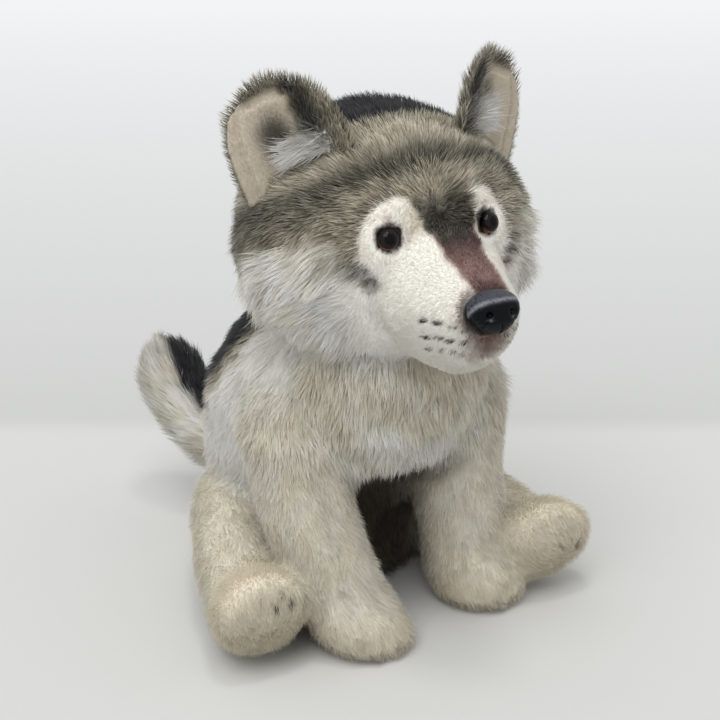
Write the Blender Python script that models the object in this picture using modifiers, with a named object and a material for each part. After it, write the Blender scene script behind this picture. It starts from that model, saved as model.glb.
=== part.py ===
"""A sitting plush wolf pup, in metres, +Z up, facing -Y, its origin under the middle of its base.

Each stuffed form is a smooth loft through rings. Its skin is made of sewn panels, which are
patches of the form's surface one fabric thick, and its stuffing is the same form further in.
Where two forms meet, the smaller one is trimmed by the outline of the larger one.
"""

import math

import bmesh
import bpy
from mathutils import Matrix, Vector

# Fabric and seams
FABRIC = 0.0026  # backing and the packed root of the pile
EAR_FABRIC = 0.0018
SEAM = 0.0004  # gap between pieces that are sewn or pressed together
STUFFING_DEPTH = FABRIC + 2 * SEAM

# Torso: an upright pear, wide at the rump and drawn in at the neck
BODY_HEIGHT = 0.186
BODY_WIDTH = 0.144
CHEST_REACH = 0.111  # from the base's middle forward to the chest
BACK_REACH = 0.060  # from the base's middle back to the rump

# Head: from the nape to the muzzle's tip
HEAD_LENGTH = 0.158
HEAD_WIDTH = 0.149  # across the cheek ruffs
HEAD_HEIGHT = 0.118
NECK_OVERLAP = 0.039  # how far the neck reaches up into the head, below the head's widest line
NAPE_BEHIND = 0.005  # the nape, in front of the base's middle

# Ears
EAR_ROW = 3.9  # where on the head's rings, and how far round from its left side
EAR_COLUMN = 2.75
EAR_HEIGHT = 0.058
EAR_WIDTH = 0.062
EAR_CUP = 0.010  # how far an ear's edges curl forward
EAR_ROOT = 0.013  # how deep an ear starts under the head's surface

# Front legs
FRONT_LEG_HEIGHT = 0.142
FRONT_LEG_WIDTH = 0.0490
FRONT_PAW_LENGTH = 0.057
SHOULDER_OUT = 0.050
SHOULDER_FORWARD = 0.058
FRONT_PAW_PLACE = {"right": (0.023, 0.097), "left": (0.052, 0.080)}  # out, forward
ELBOW_OUT = {"right": 0.012, "left": -0.010}

# Hind legs, lying forward along the floor
HIND_LEG_LENGTH = 0.138
HIND_LEG_WIDTH = 0.058
HIND_LEG_HEIGHT = 0.076
HIP_OUT = 0.034
HIP_BEHIND = 0.031
HIND_FOOT_OUT = {"right": 0.083, "left": 0.082}

# Tail, curving up behind
TAIL_WIDTH = 0.038
TAIL_LENGTH = 0.090
TAIL_ROOT_HEIGHT = 0.041
TAIL_ROOT_DEPTH = 0.026  # how deep the tail starts inside the rump

# Plastic eyes and nose, each on a stem that a washer locks from inside
EYE_ROW = 7.58  # where on the head's rings, and how far round from its left side
EYE_COLUMN = 2.65
EYE_DIAMETER = 0.0128
EYE_DOME = 0.0046
EYE_SEAT = 0.0006  # how deep an eye's rim lies under the fabric's surface
EYE_RIM = 0.0006
EYE_STEM_RADIUS = 0.0017
EYE_STEM_LENGTH = 0.013
EYE_WASHER_RADIUS = 0.0062
NOSE_WIDTH = 0.0252
NOSE_HEIGHT = 0.0200
NOSE_DEPTH = 0.0180
NOSE_ABOVE_TIP = 0.0040
NOSE_BEFORE_TIP = 0.0008
NOSE_STEM_RADIUS = 0.0030
NOSE_STEM_LENGTH = 0.026
NOSE_WASHER_RADIUS = 0.0085
NOSTRIL_SHAPE = (0.0027, 0.0019, 0.0030)  # half sizes of the balls that hollow it
GROOVE_SHAPE = (0.0009, 0.0050, 0.0030)
WASHER_THICKNESS = 0.0015
WASHER_CLEARANCE = 0.0003
TURNED_SIDES = 14

SIDES = {"right": -1, "left": 1}
UP = Vector((0, 0, 1))
LEFTWARD = Vector((1, 0, 0))  # to the wolf's own left
FORWARD = Vector((0, -1, 0))


class Form:
    """A stuffed form: a loft through rings, flat where it presses on the floor.

    Each ring is (centre, half width, reach above, reach below). Across is the direction of a
    turn of 0, and a quarter turn later comes the side called above.
    """

    def __init__(self, rings, across, columns):
        self.keys = [(*centre, width, above, below) for centre, width, above, below in rings]
        self.across = across
        self.rows = len(rings) - 1
        self.columns = columns
        self.closed = True

    def ring(self, along):
        """Catmull-Rom between the rings, for every number that a ring holds."""
        span = min(int(along), self.rows - 1)
        share = along - span
        near = [self.keys[min(max(span + i, 0), self.rows)] for i in (-1, 0, 1, 2)]
        mixed = []
        for before, start, end, after in zip(*near):
            bend = 2 * before - 5 * start + 4 * end - after
            twist = 3 * start - before - 3 * end + after
            mixed.append(0.5 * (2 * start + share * (end - before + share * (bend + share * twist))))
        return Vector(mixed[:3]), mixed[3], mixed[4], mixed[5]

    def point(self, along, column):
        centre, width, above, below = self.ring(along)
        step = 0.05
        ahead = self.ring(min(along + step, self.rows))[0]
        behind = self.ring(max(along - step, 0))[0]
        heading = (ahead - behind).normalized()
        across = (self.across - heading * self.across.dot(heading)).normalized()
        turn = math.tau * column / self.columns
        rise = above if math.sin(turn) > 0 else below
        place = centre + across * width * math.cos(turn) + heading.cross(across) * rise * math.sin(turn)
        place.z = max(place.z, 0.0)
        return place


class Ear:
    """An ear's blade, cupped forward: rows run from its root to its tip, columns across it."""

    rows = 6
    columns = 8
    closed = False

    def __init__(self, root, upright, across, facing):
        self.root, self.upright, self.across, self.facing = root, upright, across, facing

    def point(self, along, column):
        height = along / self.rows
        side = 2 * column / self.columns - 1
        half_width = EAR_WIDTH / 2 * math.sqrt(1 - 0.92 * height**4)
        curl = EAR_CUP * side**2 * (1 - 0.45 * height)
        lean = 0.10 * EAR_HEIGHT * height**2
        return (
            self.root
            + self.upright * EAR_HEIGHT * height
            + self.across * half_width * side
            + self.facing * (curl - lean)
        )


def slopes(surface, along, column):
    """How fast a point of the surface moves with each of its two coordinates."""
    step = 0.02
    rows = (min(along + step, surface.rows), max(along - step, 0))
    downhill = surface.point(rows[0], column) - surface.point(rows[1], column)
    sideways = surface.point(along, column + step) - surface.point(along, column - step)
    return downhill / (rows[0] - rows[1]), sideways / (2 * step)


def outward(surface, along, column):
    along_slope, column_slope = slopes(surface, along, column)
    return column_slope.cross(along_slope).normalized()


def at_depth(surface, along, column, depth):
    return surface.point(along, column) - outward(surface, along, column) * depth


def panel_grid(surface, rows, columns, depth):
    """Points of a panel, row by row, drawn in by half a seam at each sewn edge."""
    grid = []
    whole_turn = surface.closed and columns[1] - columns[0] == surface.columns
    for row in range(rows[0], rows[1] + 1):
        line = []
        for column in range(columns[0], columns[1] + (0 if whole_turn else 1)):
            along_slope, column_slope = slopes(surface, row, column)
            row_trim = SEAM / 2 / along_slope.length
            column_trim = SEAM / 2 / column_slope.length
            along = row + row_trim * ((row == rows[0]) - (row == rows[1]))
            if row in (0, surface.rows):
                along = row
            turned = column
            if not whole_turn:
                turned += column_trim * ((column == columns[0]) - (column == columns[1]))
            inward = -outward(surface, row, column)
            line.append(surface.point(along, turned) + inward * depth)
        grid.append(line)
    return grid, whole_turn


def skin_faces(mesh, grid, whole_turn, flip):
    """Quads over a grid of points. Returns the grid of vertices."""
    vertices = [[mesh.verts.new(place) for place in line] for line in grid]
    for upper, lower in zip(vertices, vertices[1:]):
        count = len(upper)
        for i in range(count if whole_turn else count - 1):
            j = (i + 1) % count
            corners = [upper[i], upper[j], lower[j], lower[i]]
            mesh.faces.new(corners[::-1] if flip else corners)
    return vertices


def object_from(mesh, name, material, collection):
    bmesh.ops.recalc_face_normals(mesh, faces=mesh.faces)
    data = bpy.data.meshes.new(name)
    mesh.to_mesh(data)
    mesh.free()
    data.materials.append(material)
    piece = bpy.data.objects.new(name, data)
    collection.objects.link(piece)
    data.shade_smooth()
    return piece


def solid(surface, name, depth, material, collection):
    """The whole form as one closed body, its surface this deep under the form's own."""
    mesh = bmesh.new()
    grid, whole_turn = panel_grid(surface, (0, surface.rows), (0, surface.columns), depth)
    vertices = skin_faces(mesh, grid, whole_turn, flip=False)
    mesh.faces.new(vertices[0])
    mesh.faces.new(vertices[-1])
    return object_from(mesh, name, material, collection)


def panel(surface, name, rows, columns, depths, material, collection):
    """A patch of skin between two depths, closed over the form's end where it reaches it."""
    mesh = bmesh.new()
    skins = []
    for depth, flip in zip(depths, (False, True)):
        grid, whole_turn = panel_grid(surface, rows, columns, depth)
        skins.append(skin_faces(mesh, grid, whole_turn, flip))
    outer, inner = skins
    for line, is_end in ((0, rows[0] == 0), (-1, rows[1] == surface.rows)):
        if is_end and whole_turn:
            mesh.faces.new(outer[line])
            mesh.faces.new(inner[line])
        else:
            skin_rim(mesh, outer[line], inner[line], whole_turn)
    if not whole_turn:
        for column in (0, -1):
            skin_rim(mesh, [line[column] for line in outer], [line[column] for line in inner], False)
    return object_from(mesh, name, material, collection)


def skin_rim(mesh, outer, inner, whole_turn):
    count = len(outer)
    for i in range(count if whole_turn else count - 1):
        j = (i + 1) % count
        mesh.faces.new((outer[i], inner[i], inner[j], outer[j]))


def turned(name, profile, material, collection, place):
    """A turned piece. The profile runs from the top down its outer side, as (radius, height)."""
    data = bpy.data.meshes.new(name)
    loop = profile[0][0] > 0
    edges = [(i, i + 1) for i in range(len(profile) - 1)]
    if loop:
        edges.append((len(profile) - 1, 0))
    data.from_pydata([(radius, 0, height) for radius, height in profile], edges, [])
    data.materials.append(material)
    piece = bpy.data.objects.new(name, data)
    collection.objects.link(piece)
    piece.matrix_world = place
    screw = piece.modifiers.new("turn", "SCREW")
    screw.steps = TURNED_SIDES
    screw.render_steps = TURNED_SIDES
    screw.use_merge_vertices = True
    screw.merge_threshold = 0.00001
    screw.use_smooth_shade = True
    return piece


def boolean(piece, other, operation):
    modifier = piece.modifiers.new(other.name, "BOOLEAN")
    modifier.operation = operation
    modifier.object = other
    modifier.solver = "EXACT"


def trim(pieces, cutters):
    for piece in pieces:
        for cutter in cutters:
            boolean(piece, cutter, "DIFFERENCE")


def make_material(name, colour, roughness):
    material = bpy.data.materials.new(name)
    material.use_nodes = True
    shader = material.node_tree.nodes["Principled BSDF"]
    shader.inputs["Base Color"].default_value = (*colour, 1)
    shader.inputs["Roughness"].default_value = roughness
    shader.inputs["Metallic"].default_value = 0
    return material


def make_materials():
    looks = {
        "white_pile": ((0.80, 0.77, 0.73), 0.9),
        "grey_pile": ((0.17, 0.15, 0.12), 0.9),
        "charcoal_pile": ((0.03, 0.03, 0.035), 0.9),
        "leg_pile": ((0.62, 0.58, 0.52), 0.9),
        "short_pile": ((0.76, 0.72, 0.66), 0.85),
        "ear_lining": ((0.58, 0.42, 0.36), 0.85),
        "stuffing": ((0.85, 0.85, 0.84), 0.95),
        "black_plastic": ((0.01, 0.01, 0.011), 0.2),
        "white_plastic": ((0.75, 0.75, 0.73), 0.4),
        "cutter": ((0.8, 0.1, 0.1), 0.5),
    }
    return {name: make_material(name, *look) for name, look in looks.items()}


def facing_place(origin, facing):
    """A place whose own +Z looks along facing."""
    return Matrix.Translation(origin) @ facing.to_track_quat("Z", "Y").to_matrix().to_4x4()


def make_torso_form():
    """Rings from the floor up, as shares: height, half width, chest side, back side."""
    shares = (
        (0.000, 0.10, 0.02, 0.20),
        (0.000, 0.60, 0.33, 0.70),
        (0.036, 0.73, 0.45, 0.88),
        (0.160, 0.76, 0.46, 1.00),
        (0.312, 0.84, 0.53, 1.00),
        (0.473, 0.95, 0.84, 0.93),
        (0.618, 1.00, 0.97, 0.76),
        (0.763, 0.90, 1.00, 0.43),
        (0.871, 0.72, 0.96, 0.08),
        (0.962, 0.46, 0.85, -0.34),
        (1.000, 0.07, 0.66, -0.95),
    )
    rings = []
    for height, width, chest, back in shares:
        front_y = -chest * CHEST_REACH
        back_y = back * BACK_REACH
        half_depth = (back_y - front_y) / 2
        centre = (0, (front_y + back_y) / 2, height * BODY_HEIGHT)
        rings.append((centre, width * BODY_WIDTH / 2, half_depth, half_depth))
    return UprightForm(rings, LEFTWARD, 20)


class UprightForm(Form):
    """A form whose rings all lie level, or all stand square to one direction."""

    heading = UP

    def point(self, along, column):
        centre, width, above, below = self.ring(along)
        turn = math.tau * column / self.columns
        rise = above if math.sin(turn) > 0 else below
        side = self.heading.cross(self.across)
        place = centre + self.across * width * math.cos(turn) + side * rise * math.sin(turn)
        place.z = max(place.z, 0.0)
        return place


class LyingForm(UprightForm):
    """A form whose rings stand square to the way that the wolf faces."""

    heading = FORWARD


class HangingForm(UprightForm):
    """A form whose rings all lie level and run downward. Its side called above faces forward."""

    heading = -UP


def make_head_form():
    """Rings from the nape forward, as shares: length, half width, above, below, rise."""
    shares = (
        (0.000, 0.08, 0.05, 0.05, 0.144),
        (0.025, 0.42, 0.24, 0.25, 0.144),
        (0.114, 0.75, 0.44, 0.39, 0.085),
        (0.253, 0.93, 0.565, 0.41, 0.025),
        (0.411, 1.00, 0.59, 0.405, 0.000),
        (0.551, 0.93, 0.535, 0.39, 0.000),
        (0.630, 0.79, 0.455, 0.375, 0.000),
        (0.690, 0.64, 0.365, 0.35, -0.008),
        (0.736, 0.47, 0.255, 0.32, -0.034),
        (0.805, 0.400, 0.205, 0.310, -0.062),
        (0.880, 0.360, 0.178, 0.290, -0.075),
        (0.943, 0.290, 0.153, 0.225, -0.076),
        (0.987, 0.18, 0.100, 0.100, -0.060),
        (1.000, 0.055, 0.034, 0.034, -0.060),
    )
    widest = BODY_HEIGHT + HEAD_HEIGHT / 2 - NECK_OVERLAP - 0.011
    rings = []
    for length, width, above, below, rise in shares:
        centre = (0, -NAPE_BEHIND - length * HEAD_LENGTH, widest + rise * HEAD_HEIGHT)
        rings.append((centre, width * HEAD_WIDTH / 2, above * HEAD_HEIGHT, below * HEAD_HEIGHT))
    return LyingForm(rings, LEFTWARD, 20)


def make_front_leg_form(side):
    """Rings from the shoulder down, as shares: height, half width, forward, behind."""
    shares = (
        (1.000, 0.30, 0.28, 0.28),
        (0.955, 0.66, 0.64, 0.64),
        (0.800, 1.03, 1.00, 0.95),
        (0.500, 0.98, 0.86, 0.86),
        (0.250, 0.94, 0.80, 0.82),
        (0.140, 1.02, 0.98, 0.88),
        (0.060, 1.04, 0.96, 0.88),
        (0.012, 0.90, 0.74, 0.76),
        (0.000, 0.66, 0.50, 0.56),
        (0.000, 0.15, 0.12, 0.12),
    )
    out, forward = FRONT_PAW_PLACE[side]
    rings = []
    for height, width, ahead, behind in shares:
        down = 1 - height
        bow = ELBOW_OUT[side] * 4 * down * height
        x = SHOULDER_OUT + (out - SHOULDER_OUT) * down + bow
        y = SHOULDER_FORWARD + (forward - SHOULDER_FORWARD) * down
        centre = (SIDES[side] * x, -y, height * FRONT_LEG_HEIGHT)
        half_length = FRONT_PAW_LENGTH / 2
        rings.append((centre, width * FRONT_LEG_WIDTH / 2, ahead * half_length, behind * half_length))
    return HangingForm(rings, LEFTWARD, 16)


def make_hind_leg_form(side):
    """Rings from the haunch to the toes, as shares: length, outward, width, centre, above, below."""
    shares = (
        (0.000, 0.00, 0.20, 0.46, 0.08, 0.08),
        (0.045, 0.05, 0.76, 0.48, 0.30, 0.32),
        (0.195, 0.24, 1.00, 0.52, 0.46, 0.54),
        (0.490, 0.60, 0.97, 0.44, 0.375, 0.46),
        (0.680, 0.82, 0.84, 0.37, 0.30, 0.38),
        (0.765, 0.90, 0.80, 0.36, 0.27, 0.36),
        (0.850, 0.95, 0.86, 0.40, 0.28, 0.34),
        (0.925, 0.98, 0.87, 0.45, 0.265, 0.30),
        (0.975, 1.00, 0.72, 0.49, 0.20, 0.22),
        (0.996, 1.00, 0.38, 0.51, 0.10, 0.11),
        (1.000, 1.00, 0.05, 0.515, 0.02, 0.02),
    )
    rings = []
    for length, outward, width, level, above, below in shares:
        x = HIP_OUT + (HIND_FOOT_OUT[side] - HIP_OUT) * outward
        centre = (SIDES[side] * x, HIP_BEHIND - length * HIND_LEG_LENGTH, level * HIND_LEG_HEIGHT)
        half_width = width * HIND_LEG_WIDTH / 2
        rings.append((centre, half_width, above * HIND_LEG_HEIGHT, below * HIND_LEG_HEIGHT))
    return LyingForm(rings, LEFTWARD, 14)


def make_tail_form():
    """Rings from the rump to the tip, as shares: sideways, backward, upward, radius."""
    shares = (
        (0.00, 0.00, 0.00, 0.80),
        (0.13, 0.22, 0.00, 0.92),
        (0.31, 0.46, 0.08, 0.98),
        (0.41, 0.64, 0.25, 1.02),
        (0.47, 0.76, 0.42, 0.96),
        (0.49, 0.83, 0.55, 0.66),
        (0.49, 0.86, 0.61, 0.08),
    )
    rings = []
    for sideways, backward, upward, radius in shares:
        y = BACK_REACH - TAIL_ROOT_DEPTH + backward * TAIL_LENGTH
        centre = (-sideways * TAIL_LENGTH, y, TAIL_ROOT_HEIGHT + upward * TAIL_LENGTH)
        half = radius * TAIL_WIDTH / 2
        rings.append((centre, half, half, half))
    return Form(rings, -LEFTWARD, 12)


def make_torso(torso, materials, collection):
    skin = (0, FABRIC)
    white, charcoal = materials["white_pile"], materials["charcoal_pile"]
    neck = 8
    panel(torso, "rump_base", (0, 2), (0, 20), skin, materials["leg_pile"], collection)
    panel(torso, "back_saddle", (2, neck), (3, 7), skin, charcoal, collection)
    panel(torso, "flank_left", (2, neck), (-3, 3), skin, white, collection)
    panel(torso, "flank_right", (2, neck), (7, 13), skin, white, collection)
    panel(torso, "chest_bib", (2, neck), (13, 17), skin, white, collection)
    panel(torso, "neck_panel", (neck, torso.rows), (0, 20), skin, white, collection)
    solid(torso, "torso_stuffing", STUFFING_DEPTH, materials["stuffing"], collection)


def make_head(head, materials, collection):
    """The skull's panels lie between the nape and the face, and the muzzle closes the front."""
    skin = (0, FABRIC)
    white, grey, short = materials["white_pile"], materials["grey_pile"], materials["short_pile"]
    nape, brow, stop = 2, 5, 8
    front = (
        panel(head, "face_left", (brow, stop), (-3, 5), skin, white, collection),
        panel(head, "face_right", (brow, stop), (5, 13), skin, white, collection),
        panel(head, "muzzle", (stop, head.rows), (0, 20), skin, short, collection),
    )
    others = (
        panel(head, "nape_panel", (0, nape), (0, 20), skin, materials["charcoal_pile"], collection),
        panel(head, "crown_panel", (nape, brow), (2, 8), skin, grey, collection),
        panel(head, "cheek_left", (nape, brow), (-3, 2), skin, white, collection),
        panel(head, "cheek_right", (nape, brow), (8, 13), skin, white, collection),
        panel(head, "throat_panel", (nape, stop), (13, 17), skin, white, collection),
    )
    stuffing = solid(head, "head_stuffing", STUFFING_DEPTH, materials["stuffing"], collection)
    return front, others, stuffing


def make_ear(head, side, materials, collection):
    """A furred back and a lining inside its edge, rooted a little under the crown."""
    sign = SIDES[side]
    column = EAR_COLUMN if side == "left" else head.columns / 2 - EAR_COLUMN
    upright = Vector((sign * 0.40, 0.03, 0.91)).normalized()
    facing = Vector((sign * 0.52, -0.84, 0.08))
    facing = (facing - upright * facing.dot(upright)).normalized()
    root = head.point(EAR_ROW, column) - upright * EAR_ROOT
    ear = Ear(root, upright, facing.cross(upright), facing)
    whole = ((0, ear.rows), (0, ear.columns))
    inside = ((0, ear.rows - 1), (1, ear.columns - 1))
    back_skin = (0, EAR_FABRIC)
    lining_skin = (EAR_FABRIC + SEAM, 2 * EAR_FABRIC + SEAM)
    grey, pink = materials["grey_pile"], materials["ear_lining"]
    return (
        panel(ear, "ear_back_" + side, *whole, back_skin, grey, collection),
        panel(ear, "ear_lining_" + side, *inside, lining_skin, pink, collection),
    )


def stem_room_profile(stem_radius, start, end, washer_radius, washer_top):
    """Down a stem from its start to its washer, then as wide as the washer on to the stem's end."""
    stem = stem_radius + SEAM
    washer = washer_radius + SEAM
    upper = washer_top + SEAM
    lower = end - SEAM
    return [(stem, start), (stem, upper), (washer, upper), (washer, lower), (0, lower)]


def dome_profile():
    """An eye's dome from its top down to the rim's underside."""
    steps = 4
    turns = [i * math.pi / 2 / steps for i in range(steps + 1)]
    dome = [(EYE_DIAMETER / 2 * math.sin(turn), EYE_DOME * math.cos(turn)) for turn in turns]
    return dome + [(EYE_DIAMETER / 2, -EYE_RIM)]


def make_washer(name, stem_radius, radius, top, material, collection, place):
    bore = stem_radius + WASHER_CLEARANCE
    bottom = top - WASHER_THICKNESS
    profile = [(bore, top), (radius, top), (radius, bottom), (bore, bottom)]
    return turned(name, profile, material, collection, place)


def make_eye(head, side, materials, parts, cutters):
    """An eye on the face and its washer behind the fabric. Returns the room that both take."""
    column = EYE_COLUMN if side == "left" else head.columns / 2 - EYE_COLUMN
    facing = outward(head, EYE_ROW, column)
    place = facing_place(at_depth(head, EYE_ROW, column, EYE_SEAT), facing)
    stem = [(EYE_STEM_RADIUS, -EYE_RIM), (EYE_STEM_RADIUS, -EYE_STEM_LENGTH), (0, -EYE_STEM_LENGTH)]
    turned("eye_" + side, dome_profile() + stem, materials["black_plastic"], parts, place)

    washer_top = EYE_SEAT - STUFFING_DEPTH - SEAM
    white = materials["white_plastic"]
    name = "eye_washer_" + side
    make_washer(name, EYE_STEM_RADIUS, EYE_WASHER_RADIUS, washer_top, white, parts, place)
    stem_room = stem_room_profile(
        EYE_STEM_RADIUS, -EYE_RIM - SEAM, -EYE_STEM_LENGTH, EYE_WASHER_RADIUS, washer_top
    )
    socket_radius = EYE_DIAMETER / 2 + SEAM
    socket = [(0, EYE_DOME), (socket_radius, EYE_DOME), (socket_radius, -EYE_RIM - SEAM)]
    return turned("eye_room_" + side, socket + stem_room, materials["cutter"], cutters, place)


def make_nose(head, materials, parts, cutters):
    """A moulded nose with two nostrils and a groove, its washer, and the room that both take."""
    tip = head.ring(head.rows)[0]
    facing = Vector((0, -1, 0.12)).normalized()
    place = facing_place(tip + Vector((0, -NOSE_BEFORE_TIP, NOSE_ABOVE_TIP)), facing)
    black, white, cutter = materials["black_plastic"], materials["white_plastic"], materials["cutter"]
    half = Vector((NOSE_WIDTH / 2, NOSE_HEIGHT / 2, NOSE_DEPTH / 2))

    nose = nose_body("nose", half, 0, place, black, parts)
    stem_profile = [(0, 0), (NOSE_STEM_RADIUS, 0), (NOSE_STEM_RADIUS, -NOSE_STEM_LENGTH), (0, -NOSE_STEM_LENGTH)]
    boolean(nose, turned("nose_stem", stem_profile, cutter, cutters, place), "UNION")
    for sign in (-1, 1):
        nostril_centre = Vector((sign * half.x * 0.42, -half.y * 0.12, half.z * 0.86))
        name = "nostril_" + ("left" if sign > 0 else "right")
        nostril = ball(name, nostril_centre, NOSTRIL_SHAPE, place, cutter, cutters, 10, 6)
        boolean(nose, nostril, "DIFFERENCE")
    groove_centre = Vector((0, -half.y * 0.85, half.z * 0.70))
    groove = ball("nose_groove", groove_centre, GROOVE_SHAPE, place, cutter, cutters, 10, 6)
    boolean(nose, groove, "DIFFERENCE")

    washer_top = -half.z * 0.9 - STUFFING_DEPTH - SEAM
    washer = (NOSE_STEM_RADIUS, NOSE_WASHER_RADIUS, washer_top)
    make_washer("nose_washer", *washer, white, parts, place)
    stem_room = [(0, 0), *stem_room_profile(NOSE_STEM_RADIUS, 0, -NOSE_STEM_LENGTH, *washer[1:])]
    return (
        nose_body("nose_room", half, SEAM, place, cutter, cutters),
        turned("nose_stem_room", stem_room, cutter, cutters, place),
    )


def ball(name, centre, half_sizes, place, material, collection, columns, rows):
    """A stretched sphere in the local frame of a place."""
    mesh = bmesh.new()
    bmesh.ops.create_uvsphere(mesh, u_segments=columns, v_segments=rows, radius=1)
    for vertex in mesh.verts:
        vertex.co = Vector([half * share for half, share in zip(half_sizes, vertex.co)]) + centre
    piece = object_from(mesh, name, material, collection)
    piece.matrix_world = place
    return piece


def nose_body(name, half, gap, place, material, collection):
    """A rounded block: wide above, narrower below, and flatter in front than a sphere."""
    piece = ball(name, Vector(), half + Vector((gap, gap, gap)), place, material, collection, 16, 10)
    for vertex in piece.data.vertices:
        height = vertex.co.y / half.y
        vertex.co.x *= 1 + 0.10 * height - 0.12 * height * height * (height < 0)
        vertex.co.z *= 1 - 0.10 * (vertex.co.z > 0)
    return piece


def make_front_leg(leg, side, materials, collection):
    sole_row = 7
    inner, outer = ((4, 12), (-4, 4)) if side == "left" else ((-4, 4), (4, 12))
    skin = (0, FABRIC)
    pile = materials["leg_pile"]
    return (
        panel(leg, "front_leg_outer_" + side, (1, sole_row), outer, skin, pile, collection),
        panel(leg, "front_leg_inner_" + side, (1, sole_row), inner, skin, pile, collection),
        panel(leg, "front_sole_" + side, (sole_row, leg.rows), (0, leg.columns), skin, pile, collection),
        solid(leg, "front_leg_stuffing_" + side, STUFFING_DEPTH, materials["stuffing"], collection),
    )


def make_hind_leg(side, materials, collection):
    leg = make_hind_leg_form(side)
    ankle = 5
    skin = (0, FABRIC)
    pile, short = materials["leg_pile"], materials["short_pile"]
    return (
        panel(leg, "thigh_" + side, (0, ankle), (0, leg.columns), skin, pile, collection),
        panel(leg, "hind_foot_" + side, (ankle, leg.rows), (-1, 8), skin, short, collection),
        panel(leg, "hind_sole_" + side, (ankle, leg.rows), (8, 13), skin, short, collection),
        solid(leg, "hind_leg_stuffing_" + side, STUFFING_DEPTH, materials["stuffing"], collection),
    )


def make_tail(materials, collection):
    tail = make_tail_form()
    skin = (0, FABRIC)
    white, charcoal = materials["white_pile"], materials["charcoal_pile"]
    length = (0, tail.rows)
    return (
        panel(tail, "tail_top", length, (1, 5), skin, charcoal, collection),
        panel(tail, "tail_underside", length, (5, 13), skin, white, collection),
        solid(tail, "tail_stuffing", STUFFING_DEPTH, materials["stuffing"], collection),
    )


def main():
    for item in list(bpy.data.objects):
        bpy.data.objects.remove(item)
    parts = bpy.data.collections.new("plush_wolf")
    cutters = bpy.data.collections.new("cutters")
    for collection in (parts, cutters):
        bpy.context.scene.collection.children.link(collection)
    materials = make_materials()

    torso = make_torso_form()
    head = make_head_form()
    make_torso(torso, materials, parts)
    torso_outline = solid(torso, "torso_outline", -SEAM, materials["cutter"], cutters)
    head_outline = solid(head, "head_outline", -SEAM, materials["cutter"], cutters)

    front, others, head_stuffing = make_head(head, materials, parts)
    trim((*front, *others, head_stuffing), (torso_outline,))
    for side in SIDES:
        eye_room = make_eye(head, side, materials, parts, cutters)
        trim((*front, head_stuffing), (eye_room,))
    trim((front[-1], head_stuffing), make_nose(head, materials, parts, cutters))
    for side in SIDES:
        trim(make_ear(head, side, materials, parts), (head_outline,))
        front_leg = make_front_leg_form(side)
        trim(make_front_leg(front_leg, side, materials, parts), (torso_outline,))
        front_outline = solid(front_leg, "front_outline_" + side, -SEAM, materials["cutter"], cutters)
        trim(make_hind_leg(side, materials, parts), (torso_outline, front_outline))
    trim(make_tail(materials, parts), (torso_outline,))

    for cutter in cutters.objects:
        cutter.hide_render = True
        cutter.display_type = "WIRE"


main()
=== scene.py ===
"""The looks of a sitting plush wolf pup: its pile, eyes, nose, markings, light and camera.

Every furred form is a smooth skin over the CAD panels, drawn in by part of the pile's height,
and strands of pile on it, each a bent blade of three triangles. Lengths here are in
millimetres unless a name ends in _M, and colours are sRGB from 0 to 255.
"""

import math

import bmesh
import bpy
import numpy as np
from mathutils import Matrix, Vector
from mathutils.bvhtree import BVHTree
from mathutils.kdtree import KDTree


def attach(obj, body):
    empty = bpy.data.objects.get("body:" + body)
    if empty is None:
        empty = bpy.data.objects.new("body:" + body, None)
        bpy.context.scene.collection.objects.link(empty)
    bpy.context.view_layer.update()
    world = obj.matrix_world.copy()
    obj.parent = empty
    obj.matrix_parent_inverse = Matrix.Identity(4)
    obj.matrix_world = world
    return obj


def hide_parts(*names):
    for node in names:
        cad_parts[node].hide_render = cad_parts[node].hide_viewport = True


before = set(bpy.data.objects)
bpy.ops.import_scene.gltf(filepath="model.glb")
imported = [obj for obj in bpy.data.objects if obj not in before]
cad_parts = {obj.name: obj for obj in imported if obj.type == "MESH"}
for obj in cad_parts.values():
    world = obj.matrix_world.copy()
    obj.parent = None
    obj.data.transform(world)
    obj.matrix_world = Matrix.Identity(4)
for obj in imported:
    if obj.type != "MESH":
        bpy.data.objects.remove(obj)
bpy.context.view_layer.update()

MM = 0.001
UP = np.array((0.0, 0.0, 1.0))
# The lowest that a skin and a blade of pile reach over the floor
SKIN_FLOOR = 0.3
BLADE_FLOOR = 0.2

# Camera
CAMERA_AZIMUTH = -28.7
CAMERA_ELEVATION = 21.7
CAMERA_DISTANCE_M = 1.0
CAMERA_AIM_M = (0.002, -0.039, 0.127)
CAMERA_LENS = 98.75

# Light
WORLD_TINT = (0.985, 0.99, 1, 1)
WORLD_SEEN = (0.80, 0.805, 0.81, 1)
WORLD_LIGHT = 0.80
SKY_AZIMUTH = -50
SKY_ELEVATION = 58
SKY_SPREAD = 40
SKY_POWER = 1.55
WINDOW_AZIMUTH = -15
WINDOW_ELEVATION = 80
WINDOW_DISTANCE_M = 1.8
WINDOW_SIZE_M = 0.34
WINDOW_POWER = 5.0
LAMP_AIM_M = (0, -0.03, 0.12)

# Stage
FLOOR_REACH_M = 4.0
BACKDROP_FOLD_M = 0.208  # how far behind the camera's aim the painted fold of the backdrop lies
BACKDROP_REACH_M = 1.5
# The floor is flat. Beyond the fold it is painted as a backdrop: darker at the fold as painted shade,
# and lighter toward the back as painted light
FLOOR_TONE = (0.555, 0.555, 0.54)
FOLD_SHADE_TONE = (0.49, 0.495, 0.485)
BACKDROP_LIGHT_TONE = (0.72, 0.72, 0.73)
FOLD_SOFTNESS = 0.008  # as a share of the backdrop's reach

# Forms, near those that the CAD has
HEAD_CENTRE = np.array((0.0, -72.0, 197.0))
BROW = np.array((0.0, -127.0, 234.0))
NOSE_CENTRE = np.array((0.8, -163.6, 193.6))
NOSE_HALF = np.array((12.6, 9.2, 10.2))
NOSE_FACING = np.array((0.0, -1.0, 0.12))
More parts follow.
